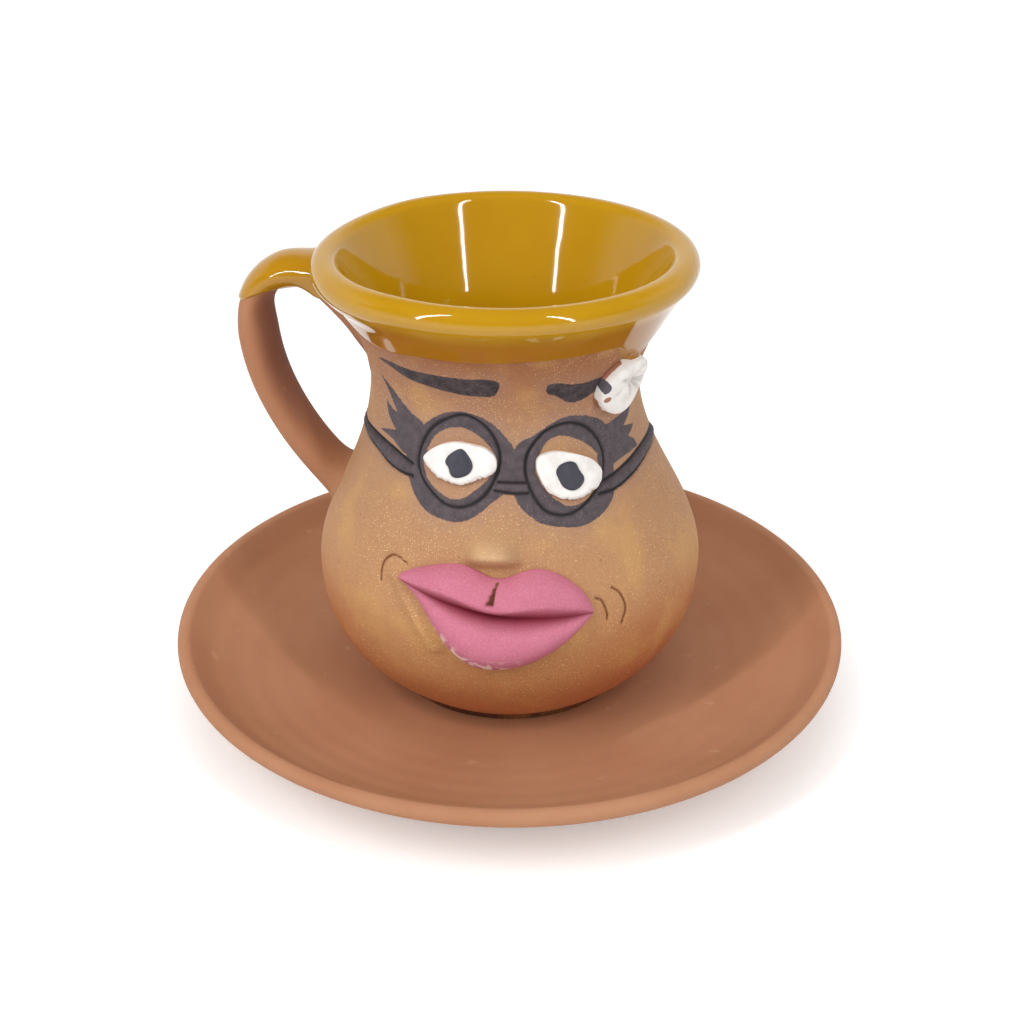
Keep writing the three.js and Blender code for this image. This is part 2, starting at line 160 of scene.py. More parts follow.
# Applied pieces, each set at an angle round the cup, a distance below the neck along the wall and a tilt
MOUTH = (-5.3, 37.9, -7.5)
MOUTH_WIDTH = 41
MOUTH_SAG = 1.1
UPPER_LIP_HEIGHT = 9
UPPER_LIP_THICK = 4.3
UPPER_LIP_LEAN = 0.3
UPPER_LIP_BOW = {"at": 0.02, "depth": 0.38, "width": 0.3}
UPPER_LIP_RIDGE = {"up": 0.32, "dip": 0.14}
SLIT_AT = -0.02
SLIT_SLANT = 0.06
SLIT_WIDTH = 0.042
SLIT_MIDDLE = 0.61
SLIT_ENDS = (0.33, 0.27)
SLIT_DEPTH = 0.4
# Painted shade on the upper lip's underside, as shares of the way up it
UPPER_LIP_SHADE = (0.3, 0)
LOWER_LIP_HEIGHT = 11.8
LOWER_LIP_THICK = 4.8
LOWER_LIP_LEFT = 2.6
LOWER_LIP_RIGHT = 1.05
# Painted shade on the lower lip just below the upper one, as shares of the way up it
LOWER_LIP_SHADE = (0.7, 1)
LOWER_LIP_CHIP = {"at": -0.08, "ends": (0.5, 0.25), "up": (0.42, 0.2)}
LIP_GRID = (190, 64)
LIP_EDGE = 0.6
LIP_PART = -0.25
NOSE = (-5, 28.2, 0)
NOSE_HALF_WIDTH = 4.5
NOSE_ABOVE = 4.4
NOSE_BELOW = 2.2
NOSE_THICK = 4.6
EYE_THICK = 1.6
EYE_SHRINK = 0.96
EYE_BARE_EDGE = 0.35
PUPIL_THICK = 0.7
PAD_SIDES = (0.66, 0.33, 0.0)
PAD_ROOT = 0.4
FLOWER = (51, -4, 0)
FLOWER_RADIUS = 6.7
FLOWER_THICK = 3
FLOWER_SLANT = -0.02
FLOWER_HEART = np.array([0.3, 1.8])
FLOWER_PIT = 0.5
FLOWER_FOLD = {"depth": 0.8, "width": 0.4}
FLOWER_PUFF = {"depth": 0.3, "width": 1.5}
FLOWER_CREASES = ((2, 1), (49, 1), (145, 0.5), (207, 0.5), (288, 0.8), (325, 0.9), (348, 0.9))
FLOWER_INK = {"across": -6.9, "up": 2.3, "radius": 1.4}
FLOWER_CHIP = {"across": -5.7, "up": -0.8, "radius": 0.8}
FLOWER_SPOT_FADE = (0, 0.2, 0.8)
FLOWER_BARE_SIDES = ((140, 28), (212, 14))

# Outlines on the wall, as angle round the cup and height
LEFT_EYE = (
    (-35.2, 67.9), (-31, 70.6), (-25.7, 72.1), (-21, 72.7), (-16.6, 72.6), (-10.8, 72.2), (-7.5, 71.4),
    (-4.9, 70), (-4.8, 67.6), (-9.6, 66), (-13.2, 65.2), (-17.8, 64.2), (-22.6, 64.3), (-27.8, 64.9),
    (-31.9, 66.1),
)
RIGHT_EYE = (
    (9.5, 67.7), (10.4, 70), (16.3, 70.8), (22.7, 70.1), (29.9, 68.5), (34, 66.8), (36.9, 64),
    (34.7, 62.2), (30.6, 61.4), (26.8, 60.8), (22.9, 60.8), (18.4, 61.4), (14.1, 62.8), (11.6, 64.6),
)
LEFT_PUPIL = (
    (-19, 71.5), (-16.3, 70.8), (-13.8, 68.5), (-14.8, 66.7), (-18.5, 65.6), (-21.4, 65.8), (-22.9, 67.3),
    (-24.3, 68.4), (-23, 70),
)
RIGHT_PUPIL = (
    (21.8, 68.3), (24.5, 67.8), (25.8, 66.3), (27.4, 64.3), (25.5, 62.9), (22.4, 62.5), (19.3, 63.4),
    (17.7, 65.1), (16.9, 66.7), (18.5, 67.9),
)
LEFT_BROW = (
    (-60.7, 85.9), (-51.4, 86.7), (-38, 86.9), (-25.5, 87.1), (-13.7, 87.3), (-7.9, 87.5), (-3.9, 86.7),
    (-4.3, 84.7), (-6.2, 83.3), (-12.4, 83), (-21.5, 83.2), (-31.9, 83.8), (-42, 84.3), (-51, 85.4),
)
RIGHT_BROW = (
    (13.4, 84.4), (14.4, 85.7), (17.9, 85.7), (23.9, 84.8), (30.2, 84.5), (36, 84.8), (42, 84.2),
    (43, 81.2), (40, 80.4), (35.5, 81.2), (31.1, 80.5), (26.8, 80), (22.6, 80.6), (18.4, 82.3), (14.8, 83.2),
)
LEFT_BAND = (
    (-44.6, 67.7), (-40.4, 62.5), (-31.4, 58.1), (-20.1, 56.9), (-13, 58.1), (-5.7, 61.4), (1.3, 64.6),
    (3.4, 69.8), (-2.9, 74.8), (-9.8, 77.7), (-18, 78.9), (-25.6, 78.3), (-32.9, 76.2), (-39.5, 73),
)
RIGHT_BAND = (
    (-0.4, 66.6), (2.6, 72.2), (9.2, 74.1), (14.9, 75.8), (20.8, 77), (27.5, 77), (34.9, 75.8), (42.5, 73),
    (44.3, 67.8), (42.9, 63.1), (40.5, 59.3), (35.3, 57.1), (29.6, 55.9), (23, 55.5), (12.2, 56.8),
    (6.6, 58.8), (2.5, 61.4),
)
LEFT_RING = (
    (-38.3, 67.4), (-36.6, 71.4), (-31.1, 75.1), (-21, 77.9), (-14.6, 77.6), (-8.9, 75.6), (-5.2, 72.7),
    (-3.9, 69.8), (-5.1, 66.4), (-8.5, 62.9), (-13.5, 60.6), (-18.7, 59.7), (-24.3, 60), (-30.5, 61.8),
    (-35.8, 64.2),
)
RIGHT_RING = (
    (6, 68.1), (8, 71.4), (14.9, 74.8), (24.9, 75.6), (33.7, 73.3), (38.6, 69.7), (39.3, 66), (35.9, 62.5),
    (29.4, 59.7), (23, 58.2), (17.6, 58.2), (12.6, 59.4), (9, 62), (6.6, 65.2),
)
LEFT_WINDOW = (
    (-35.2, 67.6), (-32.2, 72), (-27.9, 74.2), (-23.1, 75.3), (-18.1, 75.4), (-12.7, 74.2), (-8.9, 72.6),
    (-5.4, 70), (-5.3, 67.8), (-8.2, 65.6), (-12.1, 63.6), (-16, 61.9), (-20, 61.1), (-24.3, 61.4),
    (-28.6, 62.5), (-33, 64.3),
)
RIGHT_WINDOW = (
    (9.8, 67.5), (11.5, 70), (14.9, 72.6), (19.8, 73.4), (24.9, 72.7), (31.3, 70.7), (35.6, 68.5),
    (37.7, 66.3), (36.9, 64), (34.1, 62.1), (29.7, 60.3), (24.4, 59.5), (20.7, 59.7), (17, 61.1),
    (13.2, 63.1), (11.2, 65.1),
)

# Brush strokes that run from a pointed tip into the bands, with half the width at each point
LASHES = (
    (((-64.3, 82.5), (-57.4, 78.9), (-47.8, 75), (-40.8, 72.8)), (0, 0.9, 1.9, 2.6)),
    (((-62.4, 76.5), (-57.3, 74), (-49.3, 72.5), (-40.7, 71.3)), (0, 1.2, 2.2, 2.6)),
    (((-65.2, 69.3), (-54.6, 69.8), (-46, 69.2), (-39.2, 69.6)), (0, 1, 2, 2.4)),
    (((61.2, 76.2), (57.5, 73.2), (49, 71.6), (41, 71)), (0, 0.9, 1.7, 2)),
    (((61.3, 69.6), (57, 69.3), (49, 69.3), (41, 69)), (0, 0.9, 2, 2.4)),
    (((60.8, 65.2), (56.5, 66.3), (49, 67), (41, 67)), (0, 1.3, 2.1, 2.6)),
)

# Lines cut into the clay, and a raised crease beside the mouth
ARMS = (
    (
        ((-97, 66.3), (-83, 66.9), (-68.9, 67.6), (-53.9, 67.2), (-40.8, 65.8)),
        ((-97, 65.2), (-82.2, 65.3), (-65.4, 65), (-53.9, 63.9), (-45.9, 63.4), (-39.6, 63.5)),
    ),
    (
        ((36.4, 62.4), (42.9, 62.8), (53, 63.7), (63.4, 64.4), (76.6, 64.2), (92, 62.8)),
        ((34.4, 60.3), (42.9, 60.2), (54.3, 61.1), (67.5, 62.1), (80, 61.9), (92, 61.3)),
    ),
)
BRIDGE = (((-4.4, 65), (0.5, 64.9), (6.4, 64.8)), ((-5.6, 63.4), (0.8, 62.9), (6.8, 62.8)))
DIMPLES = (
    ((-33.1, 47.5), (-38.2, 48.3), (-41.5, 46.7), (-41.9, 44.7), (-41.1, 42.6)),
    ((25.3, 42.1), (27.3, 41.2), (28.4, 38.6), (28.3, 37.2)),
    ((31.1, 43.3), (33.6, 41.6), (34.8, 38.5), (33, 35.3)),
)
LIP_CREASE = ((-36.5, 45), (-31, 40.8), (-26.3, 36.8), (-21.5, 32.2))
CUT_HALF_WIDTH = 0.44
CUT_DEPTH = 0.7
CUT_SPREAD = 1.3
DIMPLE_HALF_WIDTH = 0.4
DIMPLE_DEPTH = 0.4
SLIP_LIFT = 0.14
SLIP_BEYOND_CUTS = 0.3
ARM_LIFT = 0.35
LIP_CREASE_LIFT = 0.7
LIP_CREASE_WIDTH = 1.7

# Distances from lines are told apart up to this one
FAR = 9.0

# Camera and light
LENS = 55.44
CAMERA_ELEVATION = 28.2
CAMERA_DISTANCE = 349
CAMERA_TARGET = (0, 0, 42.4)
IMAGE_WIDTH = 1024
IMAGE_SHIFT = 2.2
FLOOR_HALF = 2000
FLOOR_SHADE = (0.9, 0.9, 0.9, 1)
FLOOR_GLOW = 0.28
FLOOR_FAR_GLOW = 0.6
FLOOR_FAR = (400, 850)
TENT_DIM = 0.12
TENT_BRIGHT = 0.76
TENT_FRONT = (-0.2, 0.2)
TENT_TOP = (0.75, 0.4)
TENT_BACKDROP = (0.2, 0.12)
LAMP_DISTANCE = 1200

# Lamps as name, angle right of the front, elevation, size, watts and whether gloss mirrors them
LAMPS = (
    ("strip_left", -49, 38, (36, 1100), 6.4, True),
    ("strip_right", 38, 38, (36, 1100), 5.6, True),
    ("front", -20, 48, (1400, 600), 4, False),
    ("top", 180, 86, (1000, 1000), 5, False),
)


def colour(red, green, blue):
    """A linear colour from sRGB values out of 255."""
    shares = [value / 255 for value in (red, green, blue)]
    linear = [s / 12.92 if s <= 0.04045 else ((s + 0.055) / 1.055) ** 2.4 for s in shares]
    return (*linear, 1.0)


# Curves and profiles


def polar(angle, length):
    return length * np.array([math.cos(math.radians(angle)), math.sin(math.radians(angle))])


def sweep(start, leave, end, reach, pulls, steps):
    """A smooth curve that leaves one point and reaches another along vectors, scaled by pulls."""
    start, end = np.array(start, float), np.array(end, float)
    near, far = start + pulls[0] * np.array(leave), end - pulls[1] * np.array(reach)
    share = np.linspace(0, 1, steps + 1)[:, None]
    rest = 1 - share
    return rest**3 * start + 3 * rest**2 * share * near + 3 * rest * share**2 * far + share**3 * end


def bead(middle, radius, angles, steps):
    """A round arc between two angles."""
    return np.array([middle + polar(angle, radius) for angle in np.linspace(*angles, steps + 1)])


def graded(*stretches):
    """Values from stretches of (start, end, step), each evenly spaced."""
    parts = [np.arange(start, end, step) for start, end, step in stretches]
    return np.concatenate(parts + [[stretches[-1][1]]])


def ease(value, low, high):
    """A smooth step from 0 at low to 1 at high."""
    share = np.clip((value - low) / (high - low), 0, 1)
    return share * share * (3 - 2 * share)


def through(points, closed, steps=6):
    """A smooth line through points."""
    points = np.asarray(points, float)
    if closed:
        padded = np.vstack([points[-1], points, points[:2]])
    else:
        padded = np.vstack([2 * points[0] - points[1], points, 2 * points[-1] - points[-2]])
    before, here, after, last = [padded[at:len(padded) - 3 + at, None] for at in range(4)]
    share = (np.arange(steps) / steps)[:, None]
    bend = (2 * before - 5 * here + 4 * after - last) * share**2
    twist = (3 * here - before - 3 * after + last) * share**3
    line = here + 0.5 * ((after - before) * share + bend + twist)
    line = line.reshape(-1, points.shape[1])
    return line if closed else np.vstack([line, points[-1]])


LIP_MIDDLE = np.array([RIM_RADIUS - LIP_BEAD, CUP_HEIGHT - LIP_BEAD])
LIP_LOW, LIP_IN = [LIP_MIDDLE + polar(angle, LIP_BEAD) for angle in LIP_ANGLES]
LIP_LOW_WAY, LIP_IN_WAY = [polar(angle + 90, 1) for angle in LIP_ANGLES]
SHOULDER = NECK_HEIGHT - BELLY_HEIGHT
FLARE = LIP_LOW[1] - NECK_HEIGHT


def joined(*curves):
    """Curves that meet end to start, as one line."""
    return np.vstack([curves[0]] + [curve[1:] for curve in curves[1:]])


def outer_line(steps):
    """The outside of the cup from foot to lip, as radius and height above the foot."""
    foot, belly, neck = (FOOT_RADIUS, 0), (BELLY_RADIUS, BELLY_HEIGHT), (NECK_RADIUS, NECK_HEIGHT)
    return joined(
        sweep(foot, polar(FOOT_LEAN, BELLY_HEIGHT), belly, (0, BELLY_HEIGHT), FOOT_PULLS, steps),
        sweep(belly, (0, SHOULDER), neck, (0, SHOULDER), SHOULDER_PULLS, steps),
        sweep(neck, (0, FLARE), LIP_LOW, FLARE * LIP_LOW_WAY, FLARE_PULLS, steps),
    )


def inner_line(steps):
    """The inside of the cup from its lip to the middle of its floor."""
    neck, belly = (NECK_RADIUS - WALL, NECK_HEIGHT), (BELLY_RADIUS - WALL, BELLY_HEIGHT)
    floor = (FOOT_RADIUS - WALL, CUP_FLOOR)
    return joined(
        sweep(LIP_IN, FLARE * LIP_IN_WAY, neck, (0, -FLARE), INNER_FLARE_PULLS, steps),
        sweep(neck, (0, -SHOULDER), belly, (0, -SHOULDER), INNER_SHOULDER_PULLS, steps),
        sweep(belly, (0, -BELLY_HEIGHT), floor, (-BELLY_HEIGHT, 0), INNER_FOOT_PULLS, steps),
        np.linspace(floor, (1, CUP_FLOOR), steps),
    )


def over_lip(lip_steps, inner_steps):
    """The cup's section over its lip and on to the middle of its floor."""
    lip = bead(LIP_MIDDLE, LIP_BEAD, LIP_ANGLES, lip_steps)
    return joined(lip, inner_line(inner_steps)) + (0, CUP_BASE)


# The wall's outside, measured along itself from the foot
WALL_LINE = outer_line(600) + (0, CUP_BASE)
WALL_STEPS = np.hypot(*np.diff(WALL_LINE, axis=0).T)
WALL_LENGTHS = np.concatenate([[0], np.cumsum(WALL_STEPS)])
WALL_WAYS = np.gradient(WALL_LINE, WALL_LENGTHS, axis=0)


def radius_at(length):
    return np.interp(length, WALL_LENGTHS, WALL_LINE[:, 0])


def height_at(length):
    return np.interp(length, WALL_LENGTHS, WALL_LINE[:, 1])


def length_at(height):
    return np.interp(height, WALL_LINE[:, 1], WALL_LENGTHS)


def wall_radius(height):
    return radius_at(length_at(height))


NECK_LENGTH = float(length_at(CUP_BASE + NECK_HEIGHT))
DIP_LENGTH = float(length_at(CUP_BASE + CUP_HEIGHT - DIP_DEPTH))

# Grid stretches as start, end and step: round the wall, up the wall and up the glaze
WALL_TURNS = ((-180, -98, 3.2), (-98, -46, 0.72), (-46, 48, 0.46), (48, 94, 0.72), (94, 178, 3.2))
WALL_RISES = (
    (CUP_BASE + FOOT_RING_HEIGHT, 28, 1.2), (28, 54, 0.42), (54, 80, 0.3), (80, 92, 0.4),
    (92, CUP_BASE + LIP_LOW[1], 0.8),
)
GLAZE_RISES = ((DIP_LENGTH - 6, DIP_LENGTH + 1.5, 0.2), (DIP_LENGTH + 1.5, WALL_LENGTHS[-1], 0.7))


def wall_points(angle, length, lift):
    """Points at angles round the cup in radians, lengths up its wall and lifts off it."""
    out = np.interp(length, WALL_LENGTHS, WALL_WAYS[:, 1])
    up = -np.interp(length, WALL_LENGTHS, WALL_WAYS[:, 0])
    reach = radius_at(length) + out * lift
    return np.stack([reach * np.sin(angle), -reach * np.cos(angle), height_at(length) + up * lift], -1)


def lean(height):
    """How far the cup leans left at a height."""
    return LEAN * ease(height, *LEAN_HEIGHTS)


def flat(points):
    """Places given as angle and height on an upright cup, laid out flat on the leaning one."""
    angle, height = np.transpose(points)
    length = length_at(height)
    turned_to_front = np.clip(np.cos(np.radians(angle)), 0.4, 1)
    around = np.radians(angle) * radius_at(length) + lean(height) / turned_to_front
    return np.stack([around, length], -1)


def on_flat(place, lift):
    """Points for places laid out flat."""
    return wall_points(place[..., 0] / radius_at(place[..., 1]), place[..., 1], lift)


def seated(place, across, up):
    """Angle and length of points across and up from a place, in its tilt."""
    angle, below, tilt = place
    start = NECK_LENGTH - below
    cos, sin = polar(tilt, 1)
    return math.radians(angle) + (across * cos - up * sin) / radius_at(start), start + across * sin + up * cos


# Distances from lines drawn on the wall


def from_line(at, line, widths=None):
    """How far places lie outside a line, less half its width there."""
    widths = np.zeros(len(line)) if widths is None else widths
    best = np.full(len(at), FAR)
    for start, end, wide, next_wide in zip(line, line[1:], widths, widths[1:]):
        run = end - start
        share = np.clip((at - start) @ run / max(run @ run, 1e-9), 0, 1)
        gap = np.hypot(*(at - start - share[:, None] * run).T) - wide - share * (next_wide - wide)
        best = np.minimum(best, gap)
    return best


def closed_line(points):
    line = through(flat(points), closed=True)
    return np.vstack([line, line[0]])


def from_outline(at, points):
    """How far places lie outside a smooth outline, negative inside it."""
    line = closed_line(points)
    inside = np.zeros(len(at), bool)
    for (x0, y0), (x1, y1) in zip(line, line[1:]):
        crosses = (y0 > at[:, 1]) != (y1 > at[:, 1])
        beyond = at[:, 0] < (x1 - x0) * (at[:, 1] - y0) / (y1 - y0 + 1e-12) + x0
        inside ^= crosses & beyond
    gap = from_line(at, line)
    return np.where(inside, -gap, gap)


def from_cut(at, points):
    return from_line(at, through(flat(points), closed=False))


def from_stroke(at, points, widths):
    line = through(np.column_stack([flat(points), widths]), closed=False)
    return from_line(at, line[:, :2], line[:, 2])


def slip_gap(at):
    """Distance from the dark slip: bands without their windows, temple arms, lashes and brows."""
    gaps = [between_gap(at, (*ARMS, BRIDGE)) - SLIP_BEYOND_CUTS]
    gaps += [from_outline(at, brow) for brow in (LEFT_BROW, RIGHT_BROW)]
    gaps += [from_stroke(at, *lash) for lash in LASHES]
    for band, window in ((LEFT_BAND, LEFT_WINDOW), (RIGHT_BAND, RIGHT_WINDOW)):
        gaps.append(np.maximum(from_outline(at, band), -from_outline(at, window)))
    return np.min(gaps, axis=0)


def between_gap(at, pairs):
    """Distance from the bands that lie between pairs of cuts."""
    return np.min([from_outline(at, top + low[::-1]) for top, low in pairs], axis=0)


def cut_gap(at):
    """Distance from the middle of the cuts that draw the glasses."""
    gaps = [from_line(at, closed_line(ring)) for ring in (LEFT_RING, RIGHT_RING)]
    gaps += [from_cut(at, line) for pair in (*ARMS, BRIDGE) for line in pair]
    return np.min(gaps, axis=0)


def valley(gap, half_width):
    """A rounded cut across a line: 1 in its middle, 0 a little beyond its edge."""
    return np.cos(np.clip(gap / (CUT_SPREAD * half_width), 0, 1) * math.pi / 2) ** 1.5


def nose_lift(angle, length):
    """The nose: it swells slowly from above and ends short over the lip."""
    middle_angle, middle = seated(NOSE, 0, 0)
    across = (angle - middle_angle) * radius_at(middle)
    up = length - middle
    slope = np.where(up > 0, np.exp(-((up / NOSE_ABOVE) ** 2)), ease(up, -NOSE_BELOW, 0))
    return NOSE_THICK * slope * np.exp(-(np.abs(across / NOSE_HALF_WIDTH) ** 2.6))


# Meshes


def leaning(points):
    """Points on the upright cup, moved to the hand-thrown one that leans and sags."""
    x, y, height = points.T
    on_rim = ease(np.hypot(x, y), *RIM_SAG_WITHIN) * ease(height, *RIM_SAG_HEIGHTS)
    sag = RIM_SAG * on_rim * ease(-x, *RIM_SAG_REACH)
    away = (np.degrees(np.arctan2(x, -y)) - NECK_PINCH["angle"]) / NECK_PINCH["width"]
    at_neck = ease(height, *NECK_PINCH["from"]) * ease(height, *NECK_PINCH["to"])
    pinch = 1 - NECK_PINCH["depth"] / NECK_RADIUS * np.exp(-(away**2)) * at_neck
    return np.stack([x * pinch - lean(height), y * pinch, height - sag], -1)


def add_object(name, data):
    item = bpy.data.objects.new(name, data)
    bpy.context.scene.collection.objects.link(item)
    return item


def add_piece(name, points, faces, values):
    """A smooth mesh from points on the upright cup in millimetres, with named values at them."""
    mesh = bpy.data.meshes.new(name)
    mesh.from_pydata((leaning(points) * MM).tolist(), [], faces)
    for key, value in values.items():
        mesh.attributes.new(key, "FLOAT", "POINT").data.foreach_set("value", value.astype(np.float32))
    work = bmesh.new()
    work.from_mesh(mesh)
    bmesh.ops.recalc_face_normals(work, faces=work.faces)
    work.to_mesh(mesh)
    work.free()
    mesh.shade_smooth()
    return add_object(name, mesh)


def shell(name, loops, values):
    """A closed mesh through rows of loops, with a point amid its first and last loop."""
    rows, columns = loops.shape[:2]
    points = np.vstack([loops.reshape(-1, 3), loops[0].mean(0), loops[-1].mean(0)])
    row, column = np.arange(rows - 1)[:, None] * columns, np.arange(columns)[None, :]
    after = (column + 1) % columns
    quads = np.stack([row + column, row + after, row + columns + after, row + columns + column], -1)
    faces = quads.reshape(-1, 4).tolist()
    start, end, last = rows * columns, rows * columns + 1, (rows - 1) * columns
    for side in range(columns):
        faces.append((start, (side + 1) % columns, side))
        faces.append((end, last + side, last + (side + 1) % columns))
    spread = {}
    for key, value in values.items():
        value = np.broadcast_to(value, (rows, columns))
        spread[key] = np.concatenate([value.ravel(), [value[0].mean(), value[-1].mean()]])
    return add_piece(name, points, faces, spread)


def ways_along(line):
    ways = np.gradient(line, axis=0)
    return ways / np.hypot(*ways.T)[:, None]


def turned(profile, angles, lift):
    """Loops of a turned form, each point lifted off its profile."""
    ways = ways_along(profile)
    reach = profile[:, :1] + ways[:, 1:] * lift
    height = profile[:, 1:] - ways[:, :1] * lift
    return np.stack(np.broadcast_arrays(reach * np.sin(angles), -reach * np.cos(angles), height), -1)


def even_angles(count):
    return np.linspace(-math.pi, math.pi, count, endpoint=False)


def dress(piece, material, body, slot, *nodes):
    """Gives a piece its material, the body it moves with and the nodes it stands for."""
    piece.data.materials.append(material)
    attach(piece, body)
    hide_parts(*nodes)


# Materials


class Nodes:
    """A node tree in the making, with short names for the nodes used most."""

    def __init__(self, tree):
        self.tree = tree

    def node(self, kind, inputs, **settings):
        node = self.tree.nodes.new("ShaderNode" + kind)
        for key, value in settings.items():
            setattr(node, key, value)
        for key, value in inputs.items():
            self.feed(node.inputs[key], value)
        return node

    def feed(self, socket, value):
        if isinstance(value, bpy.types.NodeSocket):
            self.tree.links.new(value, socket)
        else:
            socket.default_value = value

    def maths(self, operation, first, second=0.0):
        return self.node("Math", {0: first, 1: second}, operation=operation).outputs[0]

    def times(self, first, second):
        return self.maths("MULTIPLY", first, second)

    def step(self, value, low, high):
        inputs = {"Value": value, "From Min": low, "From Max": high}
        return self.node("MapRange", inputs, interpolation_type="SMOOTHSTEP").outputs[0]

    def shown(self):
        """1 for rays that show a backdrop: from the camera, from gloss or through glass."""
        paths = self.node("LightPath", {}).outputs
        mirrored = self.maths("MAXIMUM", paths["Is Glossy Ray"], paths["Is Transmission Ray"])
        return self.maths("MAXIMUM", paths["Is Camera Ray"], mirrored)


class Look(Nodes):
    """A material in the making, with places on the part in millimetres."""

    def __init__(self, name, roughness):
        self.material = bpy.data.materials.new(name)
        self.material.use_nodes = True
        super().__init__(self.material.node_tree)
        self.surface = self.tree.nodes["Principled BSDF"]
        self.surface.inputs["Roughness"].default_value = roughness
        spot = self.node("TexCoord", {}).outputs["Object"]
        scale = self.node("VectorMath", {0: spot, "Scale": 1 / MM}, operation="SCALE")
        self.place = scale.outputs[0]

    def value(self, name):
        return self.node("Attribute", {}, attribute_name=name).outputs["Fac"]

    def noise(self, per_mm, detail, *cut):
        """Noise, cut into patches between two levels where they are given."""
        inputs = {"Vector": self.place, "Scale": per_mm, "Detail": detail}
        value = self.node("TexNoise", inputs).outputs["Fac"]
        return self.step(value, *cut) if cut else value

    def mix(self, share, first, second):
        return self.node("Mix", {0: share, 6: first, 7: second}, data_type="RGBA").outputs[2]

    def over(self, shade, tint, share, strength=1.0):
        """A shade with a tint laid over it, by a share at each place."""
        return self.mix(self.times(share, strength), shade, colour(*tint))

    def ramp(self, value, stops):
        """Tints at stops of a value."""
        low, high = stops[0][0], stops[-1][0]
        share = self.node("MapRange", {"Value": value, "From Min": low, "From Max": high})
        node = self.node("ValToRGB", {0: share.outputs[0]})
        points = node.color_ramp.elements
        while len(points) < len(stops):
            points.new(1.0)
        for point, (at, tint) in zip(points, stops):
            point.position = (at - low) / (high - low)
            point.color = colour(*tint)
        return node.outputs[0]

    def specks(self, cell, radius, share):
        """A scatter of spots: cells of a size in millimetres, of which a share holds one."""
        cells = self.node("TexVoronoi", {"Vector": self.place, "Scale": 1 / cell})
        chance = self.node("SeparateColor", {0: cells.outputs["Color"]}).outputs[0]
        spot = self.step(cells.outputs["Distance"], radius / cell, 0.4 * radius / cell)
        return self.times(spot, self.maths("LESS_THAN", chance, share))

    def finish(self, shade, height, depth):
        """The material, with a bump of a depth in millimetres."""
        inputs = {"Height": height, "Distance": depth * MM, "Strength": 1.0}
        self.feed(self.surface.inputs["Normal"], self.node("Bump", inputs).outputs[0])
        self.feed(self.surface.inputs["Base Color"], shade)
        return self.material


def bare_clay():
    """Unglazed terracotta: mottled, scuffed, paler where rubbed, with painted shade on the handle's inner
    side.
    """
    look = Look("bare_clay", 0.82)
    shade = look.mix(look.noise(0.04, 3, 0.3, 0.7), colour(174, 119, 84), colour(182, 129, 94))
    shade = look.over(shade, (160, 105, 76), look.noise(0.8, 4), 0.3)
    shade = look.over(shade, (214, 172, 142), look.noise(0.2, 6, 0.66, 0.74), 0.25)
    worn = look.times(look.value("worn"), look.noise(0.08, 2, 0.1, 0.6))
    shade = look.over(shade, (188, 144, 112), worn)
    # Painted shade on the handle's inner side
    shade = look.over(shade, (116, 72, 68), look.value("painted_shade"))
    return look.finish(shade, look.noise(2.2, 4), 0.05)


def sprayed_clay(look, across, height):
    """Tan spray over terracotta, which shows low down at the sides; darker up towards the glaze, with a
    painted shadow on the foot ring and painted bounce light just above it.
    """
    ring = CUP_BASE + FOOT_RING_HEIGHT
    # Tones by height: a painted shadow on the foot ring, the belly just above it painted lighter for light
    # bounced up from the saucer, then darker up towards the glaze
    shade = look.ramp(height, (
        (CUP_BASE, (66, 38, 28)), (ring - 0.1, (66, 38, 28)), (ring + 0.3, (214, 144, 100)),
        (20, (200, 134, 82)), (30, (198, 142, 90)), (40, (192, 142, 96)), (56, (184, 140, 100)),
        (74, (176, 134, 102)), (84, (168, 116, 80)), (92, (150, 92, 54)),
    ))
    shade = look.over(shade, (164, 112, 78), look.noise(0.16, 4), 0.35)
    shade = look.over(shade, (150, 100, 66), look.noise(2.2, 4, 0.4, 0.7), 0.3)
    aside = look.maths("ABSOLUTE", look.maths("SUBTRACT", across, UNSPRAYED["middle"]))
    unsprayed = look.times(look.step(aside, *UNSPRAYED["aside"]), look.step(height, *UNSPRAYED["heights"]))
    return look.over(shade, (182, 104, 60), unsprayed, 0.75)


def speckled(look, shade, gold):
    """A sheen in patches, gold and pale specks, and a few dark ones."""
    shade = look.over(shade, (208, 160, 94), look.noise(0.09, 3, 0.45, 0.7), 0.4)
    shade = look.over(shade, (248, 220, 158), gold, 0.9)
    shade = look.over(shade, (246, 220, 166), look.specks(1.2, 0.18, 0.25), 0.6)
    return look.over(shade, (120, 74, 50), look.specks(2.6, 0.35, 0.12), 0.6)


def nose_painted_light(look, shade):
    """Painted shade round the nose's edge, and a paler top that is partly rubbed clay and partly a painted
    highlight.
    """
    nose = look.value("nose")
    beside = look.times(nose, look.maths("SUBTRACT", 1.0, nose))
    shade = look.over(shade, (150, 102, 64), beside, 0.7)
    return look.over(shade, (220, 182, 140), nose, 0.5)


def slip_painted(look, shade, height, gold):
    """Dark slip with a ragged edge and a pale stain beyond it, fainter below the brows."""
    slip = look.value("slip")
    shade = look.over(shade, (150, 124, 112), look.step(slip, 4.0, 0.0), 0.22)
    ragged = look.maths("ADD", slip, look.times(look.noise(1.4, 3), 0.5))
    dark = look.mix(look.noise(0.6, 5, 0.3, 0.7), colour(37, 30, 34), colour(72, 60, 63))
    dark = look.over(dark, (110, 99, 106), look.step(height, *FAINT_SLIP_HEIGHTS), 0.32)
    dark = look.over(dark, (176, 154, 128), gold, 0.45)
    return look.mix(look.step(ragged, 0.36, 0.12), shade, dark)


